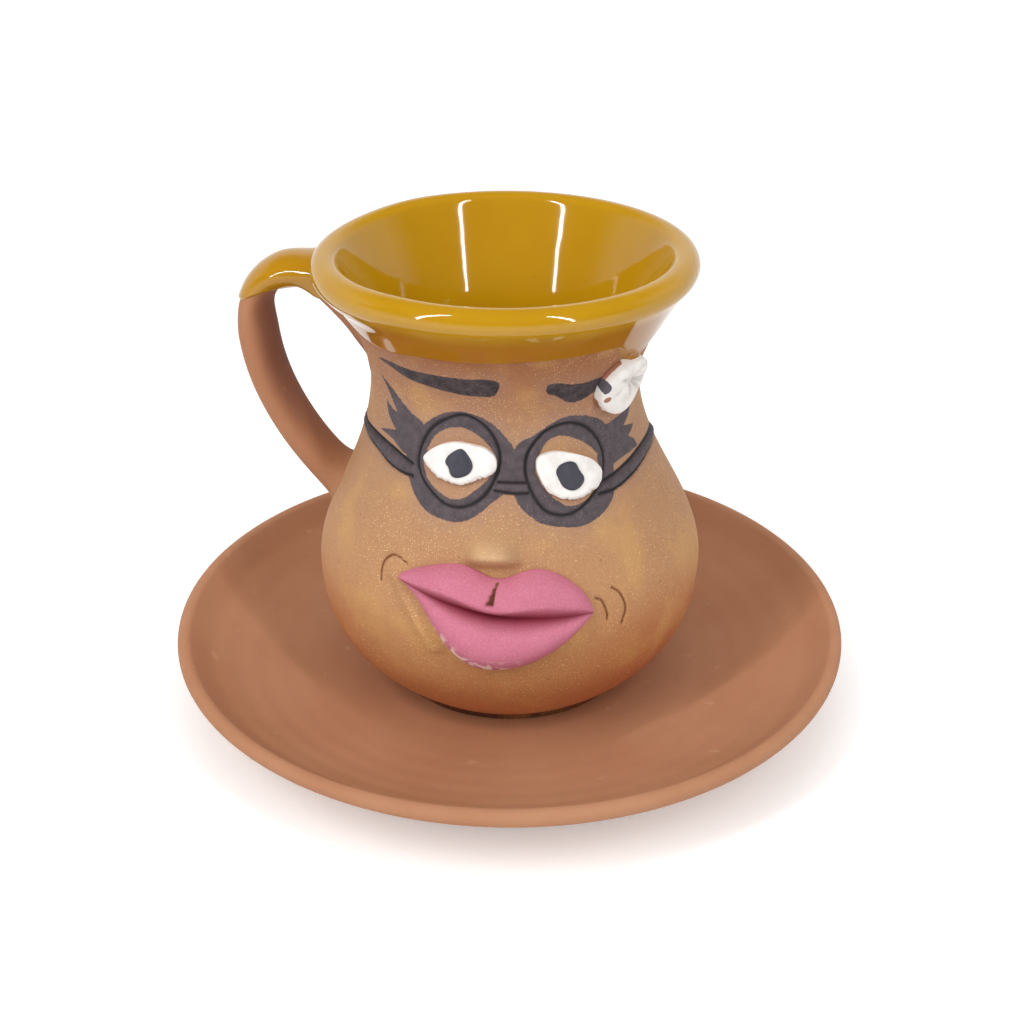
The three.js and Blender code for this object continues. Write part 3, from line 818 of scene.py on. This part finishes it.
def body_clay():
    """The cup's wall: sprayed clay with gold specks, dark slip and cut lines, painted shade and a painted
    highlight on the nose, a painted shadow on the foot ring and painted bounce light above it.
    """
    look = Look("body_clay", 0.72)
    across, _, height = look.node("SeparateXYZ", {0: look.place}).outputs
    gold = look.times(look.specks(0.42, 0.12, 0.6), look.noise(0.07, 3, 0.25, 0.65))
    shade = speckled(look, sprayed_clay(look, across, height), gold)
    shade = slip_painted(look, nose_painted_light(look, shade), height, gold)
    shade = look.over(shade, (34, 29, 32), look.step(look.value("cut"), CUT_HALF_WIDTH, 0.15))
    shade = look.over(shade, (122, 68, 36), look.step(look.value("dimple"), DIMPLE_HALF_WIDTH, 0.1))
    return look.finish(shade, look.noise(2.0, 4), 0.05)


def yellow_glaze():
    """Mustard glaze: glossy, browner where it is thin over the clay; outside below the rim this browning is
    also painted shade.
    """
    look = Look("yellow_glaze", 0.07)
    shade = look.mix(look.noise(0.06, 2), colour(178, 130, 14), colour(190, 143, 16))
    # Browner where the glaze is thin; outside below the rim this is also painted shade
    shade = look.over(shade, (164, 108, 14), look.value("thin"))
    shade = look.over(shade, (128, 82, 20), look.specks(5.0, 0.22, 0.12), 0.7)
    look.surface.inputs["IOR"].default_value = 1.5
    return look.finish(shade, look.noise(0.12, 1), 0.06)


def white_slip():
    """Chalky white slip, thin over the clay where a piece is left bare."""
    look = Look("white_slip", 0.55)
    shade = look.mix(look.noise(0.35, 3, 0.35, 0.75), colour(248, 245, 240), colour(232, 226, 222))
    shade = look.over(shade, (170, 160, 160), look.specks(1.2, 0.16, 0.1), 0.5)
    # Painted shade in the flower's creases
    shade = look.over(shade, (186, 174, 170), look.value("painted_crease_shade"), 0.4)
    ragged = look.maths("ADD", look.value("bare"), look.times(look.noise(1.2, 2), 0.4))
    shade = look.over(shade, (168, 112, 90), look.step(ragged, 0.6, 0.8))
    shade = look.over(shade, (82, 76, 82), look.step(look.value("inked"), 0.4, 0.6))
    return look.finish(shade, look.noise(1.6, 3), 0.05)


def dark_slip():
    """Thick dabs of blue-black slip with a dull sheen."""
    look = Look("dark_slip", 0.5)
    shade = look.mix(look.noise(0.8, 3), colour(44, 44, 55), colour(64, 63, 75))
    return look.finish(shade, look.noise(0.9, 2), 0.12)


def pink_slip():
    """Matt pink lips: painted shade along the mouth, under the upper lip and on its underside, bare clay in
    the slit, chipped at the lower edge.
    """
    look = Look("pink_slip", 0.75)
    shade = look.mix(look.noise(0.3, 3), colour(190, 102, 126), colour(202, 117, 138))
    shade = look.over(shade, (218, 146, 164), look.noise(2.4, 4, 0.4, 0.7), 0.25)
    shade = look.over(shade, (232, 170, 182), look.specks(0.7, 0.15, 0.2), 0.3)
    # Painted shade along the mouth, under the upper lip and on its underside
    shade = look.over(shade, (132, 24, 46), look.value("painted_mouth_shade"))
    chipped = look.times(look.value("chip"), look.noise(0.55, 3, 0.46, 0.54))
    shade = look.over(shade, (232, 200, 194), chipped)
    shade = look.over(shade, (132, 82, 62), look.step(look.value("bare"), 0.2, 0.8))
    return look.finish(shade, look.noise(2.0, 4), 0.06)


# Pieces


def build_saucer(material):
    lip_middle = np.array([SAUCER_RADIUS - SAUCER_LIP, SAUCER_HEIGHT - SAUCER_LIP])
    rim_low, rim_in = [lip_middle + polar(angle, SAUCER_LIP) for angle in SAUCER_LIP_ANGLES]
    low_way, in_way = [polar(angle + 90, SAUCER_HEIGHT) for angle in SAUCER_LIP_ANGLES]
    foot, well = (SAUCER_FOOT_RADIUS, 0), (SAUCER_WELL_RADIUS, SAUCER_FLOOR)
    out_of_foot = polar(SAUCER_FOOT_ANGLE, SAUCER_RADIUS - SAUCER_FOOT_RADIUS)
    into_well = (SAUCER_WELL_RADIUS - SAUCER_RADIUS, 0)
    profile = joined(
        np.linspace((1, 0), foot, 12),
        sweep(foot, out_of_foot, rim_low, low_way, SAUCER_OUTER_PULLS, 24),
        bead(lip_middle, SAUCER_LIP, SAUCER_LIP_ANGLES, 18),
        sweep(rim_in, in_way, well, into_well, SAUCER_INNER_PULLS, 40),
        np.linspace(well, (1, SAUCER_FLOOR), 24),
    )
    radius = profile[:, :1]
    angles = even_angles(SAUCER_SIDES)
    upper = profile[:, 1:] > SAUCER_FLOOR - 0.01
    rings = np.where(upper, np.sin(radius * THROWING_RING["per_mm"]) - 1, 0) * THROWING_RING["height"]
    wobble = (np.sin(3 * angles + 1) - 1) * SAUCER_WOBBLE * (radius / SAUCER_RADIUS) ** 4
    worn = ease(SAUCER_RADIUS - radius, *SAUCER_WEAR["within"]) * upper * SAUCER_WEAR["share"]
    loops = turned(profile, angles, rings + wobble)
    piece = shell("saucer_dish", loops, {"worn": worn, "painted_shade": 0})
    dress(piece, material, "saucer", "bare_clay", "saucer")


def wall_relief(at, marks):
    """How far temple arms, slip and lip crease raise the wall, less what is cut into it."""
    lift = ARM_LIFT * ease(between_gap(at, ARMS), -0.3, -0.9)
    lift += LIP_CREASE_LIFT * np.exp(-((from_cut(at, LIP_CREASE) / LIP_CREASE_WIDTH) ** 2))
    lift += SLIP_LIFT * ease(marks["slip"], 0.2, -0.2)
    lift -= CUT_DEPTH * valley(marks["cut"], CUT_HALF_WIDTH)
    return lift - DIMPLE_DEPTH * valley(marks["dimple"], DIMPLE_HALF_WIDTH)


def build_cup_wall(material):
    angles = np.radians(graded(*WALL_TURNS))[:-1]
    heights = graded(*WALL_RISES)
    lengths = length_at(heights)
    outer = np.column_stack([radius_at(lengths), heights])
    foot = np.array([outer[0, 0] - FOOT_RING_INSET, CUP_BASE])
    ring = np.array([foot, foot + (0, FOOT_RING_HEIGHT), outer[0]])
    under = joined(np.linspace((1, CUP_BASE), foot, 4), ring)
    profile = joined(under, outer, over_lip(lip_steps=10, inner_steps=7))
    rows = slice(len(under) - 1, len(under) - 1 + len(outer))
    shape = (len(profile), len(angles))
    angle, length = np.meshgrid(angles, lengths)
    at = np.column_stack([(angle * radius_at(length)).ravel(), length.ravel()])
    dimples = np.min([from_cut(at, line) for line in DIMPLES], axis=0)
    marks = {"slip": slip_gap(at), "cut": cut_gap(at), "dimple": dimples}
    values = {name: np.full(shape, FAR) for name in marks}
    for name, gap in marks.items():
        values[name][rows] = gap.reshape(angle.shape)
    lift = np.zeros(shape)
    lift[rows] = nose_lift(angle, length)
    # The nose's rise, which also places painted shade round it and a painted highlight on its top
    values["nose"] = lift / NOSE_THICK
    lift[rows] += wall_relief(at, marks).reshape(angle.shape)
    piece = shell("cup_wall", turned(profile, angles, lift), values)
    dress(piece, material, "cup", "body_clay", "cup_body", "nose")


def glaze_stand(covered, sink):
    """How far glaze stands off the clay: sunk out of sight where it doesn't cover it."""
    return GLAZE * ((1 + sink) * covered - sink)


def glaze_lift(angles, lengths):
    """How far the glaze stands off the outside, with a swell over the flower."""
    line = DIP_LENGTH + DIP_WAVE * (np.sin(2 * angles + 0.6) + 0.5 * np.sin(5 * angles))
    for middle, width, length in DIP_RUNS:
        line -= length * np.exp(-(((np.degrees(angles) - middle) / width) ** 4))
    covered = ease(lengths[:, None] - line, *GLAZE_EDGE)
    angle, middle = seated(FLOWER, 0, 0)
    from_flower = np.hypot((angles - angle) * NECK_RADIUS, lengths[:, None] - middle)
    swell = GLAZE_SWELL["share"] * ease(from_flower - FLOWER_RADIUS, *GLAZE_SWELL["edge"])
    return glaze_stand(covered, GLAZE_SINK) + FLOWER_THICK * swell * covered


def build_glaze_coat(material):
    angles = even_angles(GLAZE_SIDES)
    lengths = graded(*GLAZE_RISES)
    outside = np.column_stack([radius_at(lengths), height_at(lengths)])
    front = joined(outside, over_lip(lip_steps=24, inner_steps=24))
    lift = np.full((len(front), len(angles)), GLAZE)
    lift[: len(lengths)] = glaze_lift(angles, lengths)
    back = turned(front, angles, -GLAZE_ROOT)[::-4]
    loops = np.vstack([back, turned(front, angles, lift)])
    # Browner outside below the rim: thin glaze there, and painted shade on the downward-facing flare
    thin = np.zeros(loops.shape[:2])
    below_rim = CUP_BASE + CUP_HEIGHT - outside[:, 1:]
    thin[len(back):len(back) + len(lengths)] = ease(below_rim, *GLAZE_THIN_AND_SHADED)
    dress(shell("glaze_layer", loops, {"thin": thin}), material, "cup", "yellow_glaze", "glaze_coat")


def handle_line():
    """The handle's middle line, as distance from the cup's axis and height."""
    ends = (CUP_HEIGHT - HANDLE_TOP_DROP, BELLY_HEIGHT + HANDLE_LOW_RISE)
    top, low = [np.array([wall_radius(CUP_BASE + height) - WALL / 2, height]) for height in ends]
    bend = np.array([NECK_RADIUS + HANDLE_GAP + HANDLE_THICK / 2, top[1] - HANDLE_BEND_DROP])
    run, drop = bend[0] - top[0], bend[1] - low[1]
    line = joined(
        np.linspace(top - polar(HANDLE_TOP_ANGLE, HANDLE_SINK), top, 8),
        sweep(top, polar(HANDLE_TOP_ANGLE, run), bend, (0, -run), HANDLE_TOP_PULLS, HANDLE_STEPS),
        sweep(bend, (0, -drop), low, polar(HANDLE_LOW_ANGLE, drop), HANDLE_LOW_PULLS, HANDLE_STEPS),
        np.linspace(low, low + polar(HANDLE_LOW_ANGLE, HANDLE_SINK), 8),
    )
    return line + (0, CUP_BASE)


# Angles round the strap
STRAP_ROUND = even_angles(HANDLE_SIDES)


def strap_section(line, grow):
    """The strap round its line, flared at the wall: distance from the cup's axis, height, place aside."""
    ways = ways_along(line)
    toward_top = ease(line[:, 1:], *HANDLE_THICK_HEIGHTS)
    thick = HANDLE_THICK + (HANDLE_TOP_THICK - HANDLE_THICK) * toward_top
    distance, height = line[:, :1], line[:, 1:]
    for fade in HANDLE_FILLET_FADES:
        clear = np.clip(distance - wall_radius(height), 0, None)
        flare = HANDLE_FILLET * np.exp(-clear / fade)
        out = (thick / 2 + flare + grow) * np.cos(STRAP_ROUND)
        aside = (HANDLE_WIDTH / 2 + flare + grow) * np.sin(STRAP_ROUND)
        distance = line[:, :1] - ways[:, 1:] * out
        height = line[:, 1:] + ways[:, :1] * out
    return distance, height, aside


def web_slide(line):
    """How far the strap's underside slides down the neck, along the strap and round it."""
    clear = np.maximum(line[:, 0] - wall_radius(line[:, 1]), -WEB_FADE)
    near = np.maximum(clear, WEB_TAIL["from"])
    web = WEB * np.exp(-near / WEB_FADE) * ease(clear, *WEB_WITHIN)
    web += WEB_TAIL["slope"] * (near - clear)
    at_top = line[:, 1] > CUP_BASE + NECK_HEIGHT
    return np.outer(at_top * web, ease(-np.cos(STRAP_ROUND), *WEB_UNDERSIDE))


def strap(line, grow):
    """Loops of the handle's strap with its web, sunk into the wall at both ends."""
    distance, height, aside = strap_section(line, grow)
    slide = web_slide(line)
    distance = distance - wall_radius(height) + wall_radius(height - slide)
    height = height - slide
    aside = aside * (1 - WEB_TAPER["share"] * ease(slide, *WEB_TAPER["slides"]))
    away = polar(180 - HANDLE_TURN, 1)
    x = distance * away[0] - aside * away[1]
    y = distance * away[1] + aside * away[0]
    reach = np.hypot(x, y)
    wall = wall_radius(height)
    pressed = reach + (distance - reach) * ease(distance - wall, HANDLE_SEAT, 0)
    sunk = np.maximum(pressed, wall - HANDLE_BURIED) / reach
    return np.stack([x * sunk, y * sunk, height], -1)


def build_handle(material):
    loops = strap(handle_line(), 0.0)
    # Painted shade on the strap's inner side, facing the cup
    painted_shade = HANDLE_PAINTED_SHADE["share"] * ease(-np.cos(STRAP_ROUND), *HANDLE_PAINTED_SHADE["underside"])
    painted_shade = painted_shade * ease(loops[..., 2], *HANDLE_PAINTED_SHADE["heights"])
    piece = shell("handle_strap", loops, {"worn": 0, "painted_shade": painted_shade})
    dress(piece, material, "cup", "bare_clay", "handle")


def build_handle_glaze(material):
    line = handle_line()
    line = line[: len(line) // 2]
    dip = CUP_BASE + CUP_HEIGHT - HANDLE_DIP_DEPTH + HANDLE_DIP_RISE * (1 - np.cos(STRAP_ROUND)) / 2
    covered = ease(strap(line, 0.0)[..., 2] - dip, *GLAZE_EDGE)
    loops = strap(line, glaze_stand(covered, HANDLE_GLAZE_SINK))
    piece = shell("handle_dip", loops, {"thin": HANDLE_GLAZE_THIN})
    dress(piece, material, "cup", "yellow_glaze", "handle_glaze")


def pad(outline, shares, lifts, middle):
    """Loops of a pad on the wall: shares of the way to its outline, with lifts, then its sides."""
    edge = middle + shares[:, None, None] * (outline - middle)
    front = on_flat(edge, lifts)
    sides = [on_flat(outline, lifts[-1] * share - PAD_ROOT * (1 - share)) for share in PAD_SIDES]
    return np.concatenate([front, np.array(sides)])


def rounded_shares(count):
    """Shares of the way to a pad's outline, closest together near it."""
    return np.sin(np.linspace(0.04, 1, count) * math.pi / 2)


def build_eye(name, points, material, node):
    outline = through(flat(points), closed=True)
    middle = outline.mean(0)
    outline = middle + EYE_SHRINK * (outline - middle)
    low = ease(middle[1] - outline[:, 1], 0, 1.5)
    chatter = np.random.default_rng(len(name)).normal(-EYE_BARE_EDGE, 0.1, len(outline))
    outline[:, 1] += low * chatter
    shares = rounded_shares(18)
    lifts = EYE_THICK * (1 - (0.2 + 0.4 * low) * shares[:, None] ** 10)
    bare = np.zeros((len(shares) + len(PAD_SIDES), len(outline)))
    bare[len(shares) - 2:] = low
    loops = pad(outline, shares, lifts, middle)
    piece = shell(name, loops, {"bare": bare, "inked": 0, "painted_crease_shade": 0})
    dress(piece, material, "cup", "white_slip", node)


def build_pupil(name, points, material, node):
    outline = through(flat(points), closed=True)
    shares = rounded_shares(14)
    lifts = EYE_THICK + PUPIL_THICK * np.sqrt(1 - 0.9 * shares[:, None] ** 4)
    loops = pad(outline, shares, lifts, outline.mean(0))
    dress(shell(name, loops[:-2], {}), material, "cup", "dark_slip", node)


def on_flower(places):
    """Places across and up on the flower, laid out flat on the wall."""
    angle, length = seated(FLOWER, places[..., 0], places[..., 1])
    return np.stack([angle * radius_at(length), length], -1)


def flower_creases(places):
    """How far places on the flower lie from the creases that leave its heart."""
    heart = FLOWER_HEART
    tips = [heart + reach * (polar(at, FLOWER_RADIUS) - heart) for at, reach in FLOWER_CREASES]
    return np.min([from_line(places, np.array([heart, tip])) for tip in tips], axis=0)


def flower_spot(places, spot):
    """A round spot on the flower, 1 inside and 0 outside, which shrinks down its sides."""
    away = np.hypot(places[..., 0] - spot["across"], places[..., 1] - spot["up"])
    away[-len(PAD_SIDES):] += np.array(FLOWER_SPOT_FADE)[:, None]
    return ease(away, spot["radius"] + 0.3, spot["radius"] - 0.3)


def build_flower(material):
    turn = even_angles(224)
    shares = np.linspace(0.02, 1, 36)
    rim = FLOWER_RADIUS * np.column_stack([np.cos(turn), np.sin(turn)])
    places = FLOWER_HEART + shares[:, None, None] * (rim - FLOWER_HEART)
    crease = flower_creases(places.reshape(-1, 2)).reshape(places.shape[:2])
    across, share = places[..., 0], shares[:, None]
    dome = FLOWER_THICK * (1 - 0.3 * share**5) - FLOWER_PIT * ease(share, 0.4, 0)
    press = across**2 / (3 * NECK_RADIUS) + FLOWER_SLANT * across
    fade = (1 - 0.8 * share**4) * ease(share, 0, 0.2)
    fold = np.exp(-((crease / FLOWER_FOLD["width"]) ** 2)) * fade
    puff = np.exp(-crease / FLOWER_PUFF["width"]) * fade
    lifts = dome + press - FLOWER_FOLD["depth"] * fold - FLOWER_PUFF["depth"] * puff
    loops = pad(on_flower(rim), shares, lifts, on_flower(FLOWER_HEART))
    places = np.concatenate([places, np.repeat(rim[None], len(PAD_SIDES), 0)])
    bare = flower_spot(places, FLOWER_CHIP)
    for at, wide in FLOWER_BARE_SIDES:
        apart = np.abs((np.degrees(turn) - at + 180) % 360 - 180)
        bare[len(shares) + 1:] += ease(apart, wide + 4, wide - 4)
    # Painted shade along the flower's folds
    painted_crease_shade = np.zeros(bare.shape)
    painted_crease_shade[: len(shares)] = fold
    values = {"bare": bare, "inked": flower_spot(places, FLOWER_INK), "painted_crease_shade": painted_crease_shade}
    dress(shell("flower_disc", loops, values), material, "cup", "white_slip", "flower")


def lip_loops(low, high, lift):
    """Loops across the mouth, each round a lip's front and back, with where they lie."""
    share = np.sin(np.linspace(-1, 1, LIP_GRID[0]) * math.pi / 2)[:, None]
    up = np.linspace(0, 1, LIP_GRID[1])[None, :]
    rise = low(share) + (high(share) - low(share)) * up
    angle, length = seated(MOUTH, share * MOUTH_WIDTH / 2, rise)
    front = wall_points(angle, length, LIP_EDGE + lift(share, up))
    back = wall_points(angle, length, -PAD_ROOT)[:, ::-1]
    return np.concatenate([front, back], axis=1), share, up


def add_lip(name, loops, values, material, node):
    """A lip, with values that are the same on its back as on its front."""
    spread = {}
    for key, value in values.items():
        front = np.broadcast_to(value, LIP_GRID)
        spread[key] = np.concatenate([front, front[:, ::-1]], axis=1)
    dress(shell(name, loops, spread), material, "cup", "pink_slip", node)


def fullness(share):
    """How full the mouth is: 1 in its middle, 0 at its corners."""
    return np.sqrt(np.clip(1 - share**2, 0, 1))


def mouth_line(share):
    """The line between the lips, which hangs a little below its corners."""
    return -MOUTH_SAG * fullness(share) ** 2


def bow_dip(share):
    """The dip in the upper lip: 1 in its middle, 0 beside it."""
    return np.exp(-(((share - UPPER_LIP_BOW["at"]) / UPPER_LIP_BOW["width"]) ** 2))


def build_upper_lip(material):
    def low(share):
        return LIP_PART + mouth_line(share)

    def high(share):
        crown = UPPER_LIP_HEIGHT * (1 + UPPER_LIP_LEAN * share) * fullness(share) ** 1.3
        return LIP_PART + LIP_EDGE + crown * (1 - UPPER_LIP_BOW["depth"] * bow_dip(share))

    def slit(share, up):
        width = SLIT_WIDTH * np.clip(1.2 - up, 0.3, 1)
        aside = np.abs(share - SLIT_AT - SLIT_SLANT * up)
        along = np.abs(up - SLIT_MIDDLE)
        return ease(aside, width, 0.6 * width) * ease(along, *SLIT_ENDS)

    def lift(share, up):
        ridge = UPPER_LIP_RIDGE["up"] - UPPER_LIP_RIDGE["dip"] * bow_dip(share)
        under = ease(up, -0.25 * ridge, ridge)
        over = np.cos(np.clip((up - ridge) / (1 - ridge), 0, 1) ** 1.3 * math.pi / 2) ** 0.8
        roll = np.where(up < ridge, under, over)
        return UPPER_LIP_THICK * fullness(share) * roll * (1 - SLIT_DEPTH * slit(share, up))

    loops, share, up = lip_loops(low, high, lift)
    # Painted shade on the upper lip's underside
    painted_mouth_shade = ease(up, *UPPER_LIP_SHADE) * fullness(share) ** 0.3
    values = {"painted_mouth_shade": painted_mouth_shade, "chip": 0, "bare": slit(share, up)}
    add_lip("upper_lip_roll", loops, values, material, "upper_lip")


def build_lower_lip(material):
    def pout(share):
        return fullness(share) ** (2 * np.where(share < 0, LOWER_LIP_LEFT, LOWER_LIP_RIGHT))

    def low(share):
        return high(share) - LIP_EDGE - LOWER_LIP_HEIGHT * pout(share)

    def high(share):
        return mouth_line(share) - LIP_PART

    def lift(share, up):
        roll = np.clip(np.sin((1 - up) ** 1.1 * math.pi), 0, 1) ** 0.7
        return LOWER_LIP_THICK * pout(share) * roll

    loops, share, up = lip_loops(low, high, lift)
    # Painted shade on the lower lip below the upper one
    painted_mouth_shade = ease(up, *LOWER_LIP_SHADE) * fullness(share) ** 0.3
    beside = np.abs(share - LOWER_LIP_CHIP["at"])
    chip = ease(up, *LOWER_LIP_CHIP["up"]) * ease(beside, *LOWER_LIP_CHIP["ends"])
    add_lip("lower_lip_roll", loops, {"painted_mouth_shade": painted_mouth_shade, "chip": chip, "bare": 0}, material, "lower_lip")


# Stage


def aim(item, azimuth, elevation, distance):
    """Sets an item at an angle right of the front and above the floor, and points it at the part."""
    turn, rise = math.radians(azimuth), math.radians(elevation)
    level = distance * math.cos(rise)
    way = Vector((level * math.sin(turn), -level * math.cos(turn), distance * math.sin(rise)))
    item.location = (Vector(CAMERA_TARGET) + way) * MM
    item.rotation_euler = (-way).to_track_quat("-Z", "Y").to_euler()


def add_camera():
    data = bpy.data.cameras.new("camera")
    data.lens = LENS
    data.shift_x = IMAGE_SHIFT / IMAGE_WIDTH
    camera = add_object("camera", data)
    aim(camera, 0, CAMERA_ELEVATION, CAMERA_DISTANCE)
    bpy.context.scene.camera = camera


def add_lamp(name, azimuth, elevation, size, watts, mirrored):
    data = bpy.data.lights.new(name, "AREA")
    data.shape = "RECTANGLE"
    data.size, data.size_y = [side * MM for side in size]
    data.energy = watts
    item = add_object(name, data)
    item.visible_glossy = mirrored
    aim(item, azimuth, elevation, LAMP_DISTANCE)


def floor_white():
    """White with the object's shadow on it, lifted for rays that show it, most of all far away."""
    look = Look("floor_white", 0.9)
    away = look.node("VectorMath", {0: look.place}, operation="LENGTH").outputs["Value"]
    far = look.times(look.step(away, *FLOOR_FAR), FLOOR_FAR_GLOW - FLOOR_GLOW)
    level = look.times(look.shown(), look.maths("ADD", far, FLOOR_GLOW))
    glow = look.node("Emission", {"Strength": level}).outputs[0]
    both = look.node("AddShader", {0: look.surface.outputs[0], 1: glow}).outputs[0]
    look.feed(look.tree.nodes["Material Output"].inputs["Surface"], both)
    look.surface.inputs["Base Color"].default_value = FLOOR_SHADE
    return look.material


def add_floor():
    half = FLOOR_HALF * MM
    corners = [(-half, -half, 0), (half, -half, 0), (half, half, 0), (-half, half, 0)]
    mesh = bpy.data.meshes.new("floor")
    mesh.from_pydata(corners, [], [(0, 1, 2, 3)])
    mesh.materials.append(floor_white())
    floor = add_object("floor", mesh)


def add_world():
    """A tent, brightest low down at the sides and the back, with a white backdrop all round."""
    world = bpy.data.worlds.new("tent")
    world.use_nodes = True
    nodes = Nodes(world.node_tree)
    way = nodes.node("TexCoord", {}).outputs["Generated"]
    axes = nodes.node("SeparateXYZ", {0: way}).outputs
    bright = nodes.times(nodes.step(axes[1], *TENT_FRONT), nodes.step(axes[2], *TENT_TOP))
    strength = nodes.maths("ADD", nodes.times(bright, TENT_BRIGHT), TENT_DIM)
    backdrop = nodes.times(nodes.shown(), nodes.step(axes[2], *TENT_BACKDROP))
    strength = nodes.maths("MAXIMUM", strength, backdrop)
    background = nodes.tree.nodes["Background"].inputs
    background["Color"].default_value = (1, 1, 1, 1)
    nodes.feed(background["Strength"], strength)
    bpy.context.scene.world = world


def main():
    clay, glaze = bare_clay(), yellow_glaze()
    white, dark, pink = white_slip(), dark_slip(), pink_slip()
    build_saucer(clay)
    build_cup_wall(body_clay())
    build_glaze_coat(glaze)
    build_handle(clay)
    build_handle_glaze(glaze)
    build_eye("eye_left", LEFT_EYE, white, "left_eye")
    build_eye("eye_right", RIGHT_EYE, white, "right_eye")
    build_pupil("pupil_left", LEFT_PUPIL, dark, "left_pupil")
    build_pupil("pupil_right", RIGHT_PUPIL, dark, "right_pupil")
    build_flower(white)
    build_upper_lip(pink)
    build_lower_lip(pink)
    add_camera()
    add_floor()
    add_world()
    for lamp in LAMPS:
        add_lamp(*lamp)


main()
bpy.context.scene.view_settings.view_transform = "Standard"
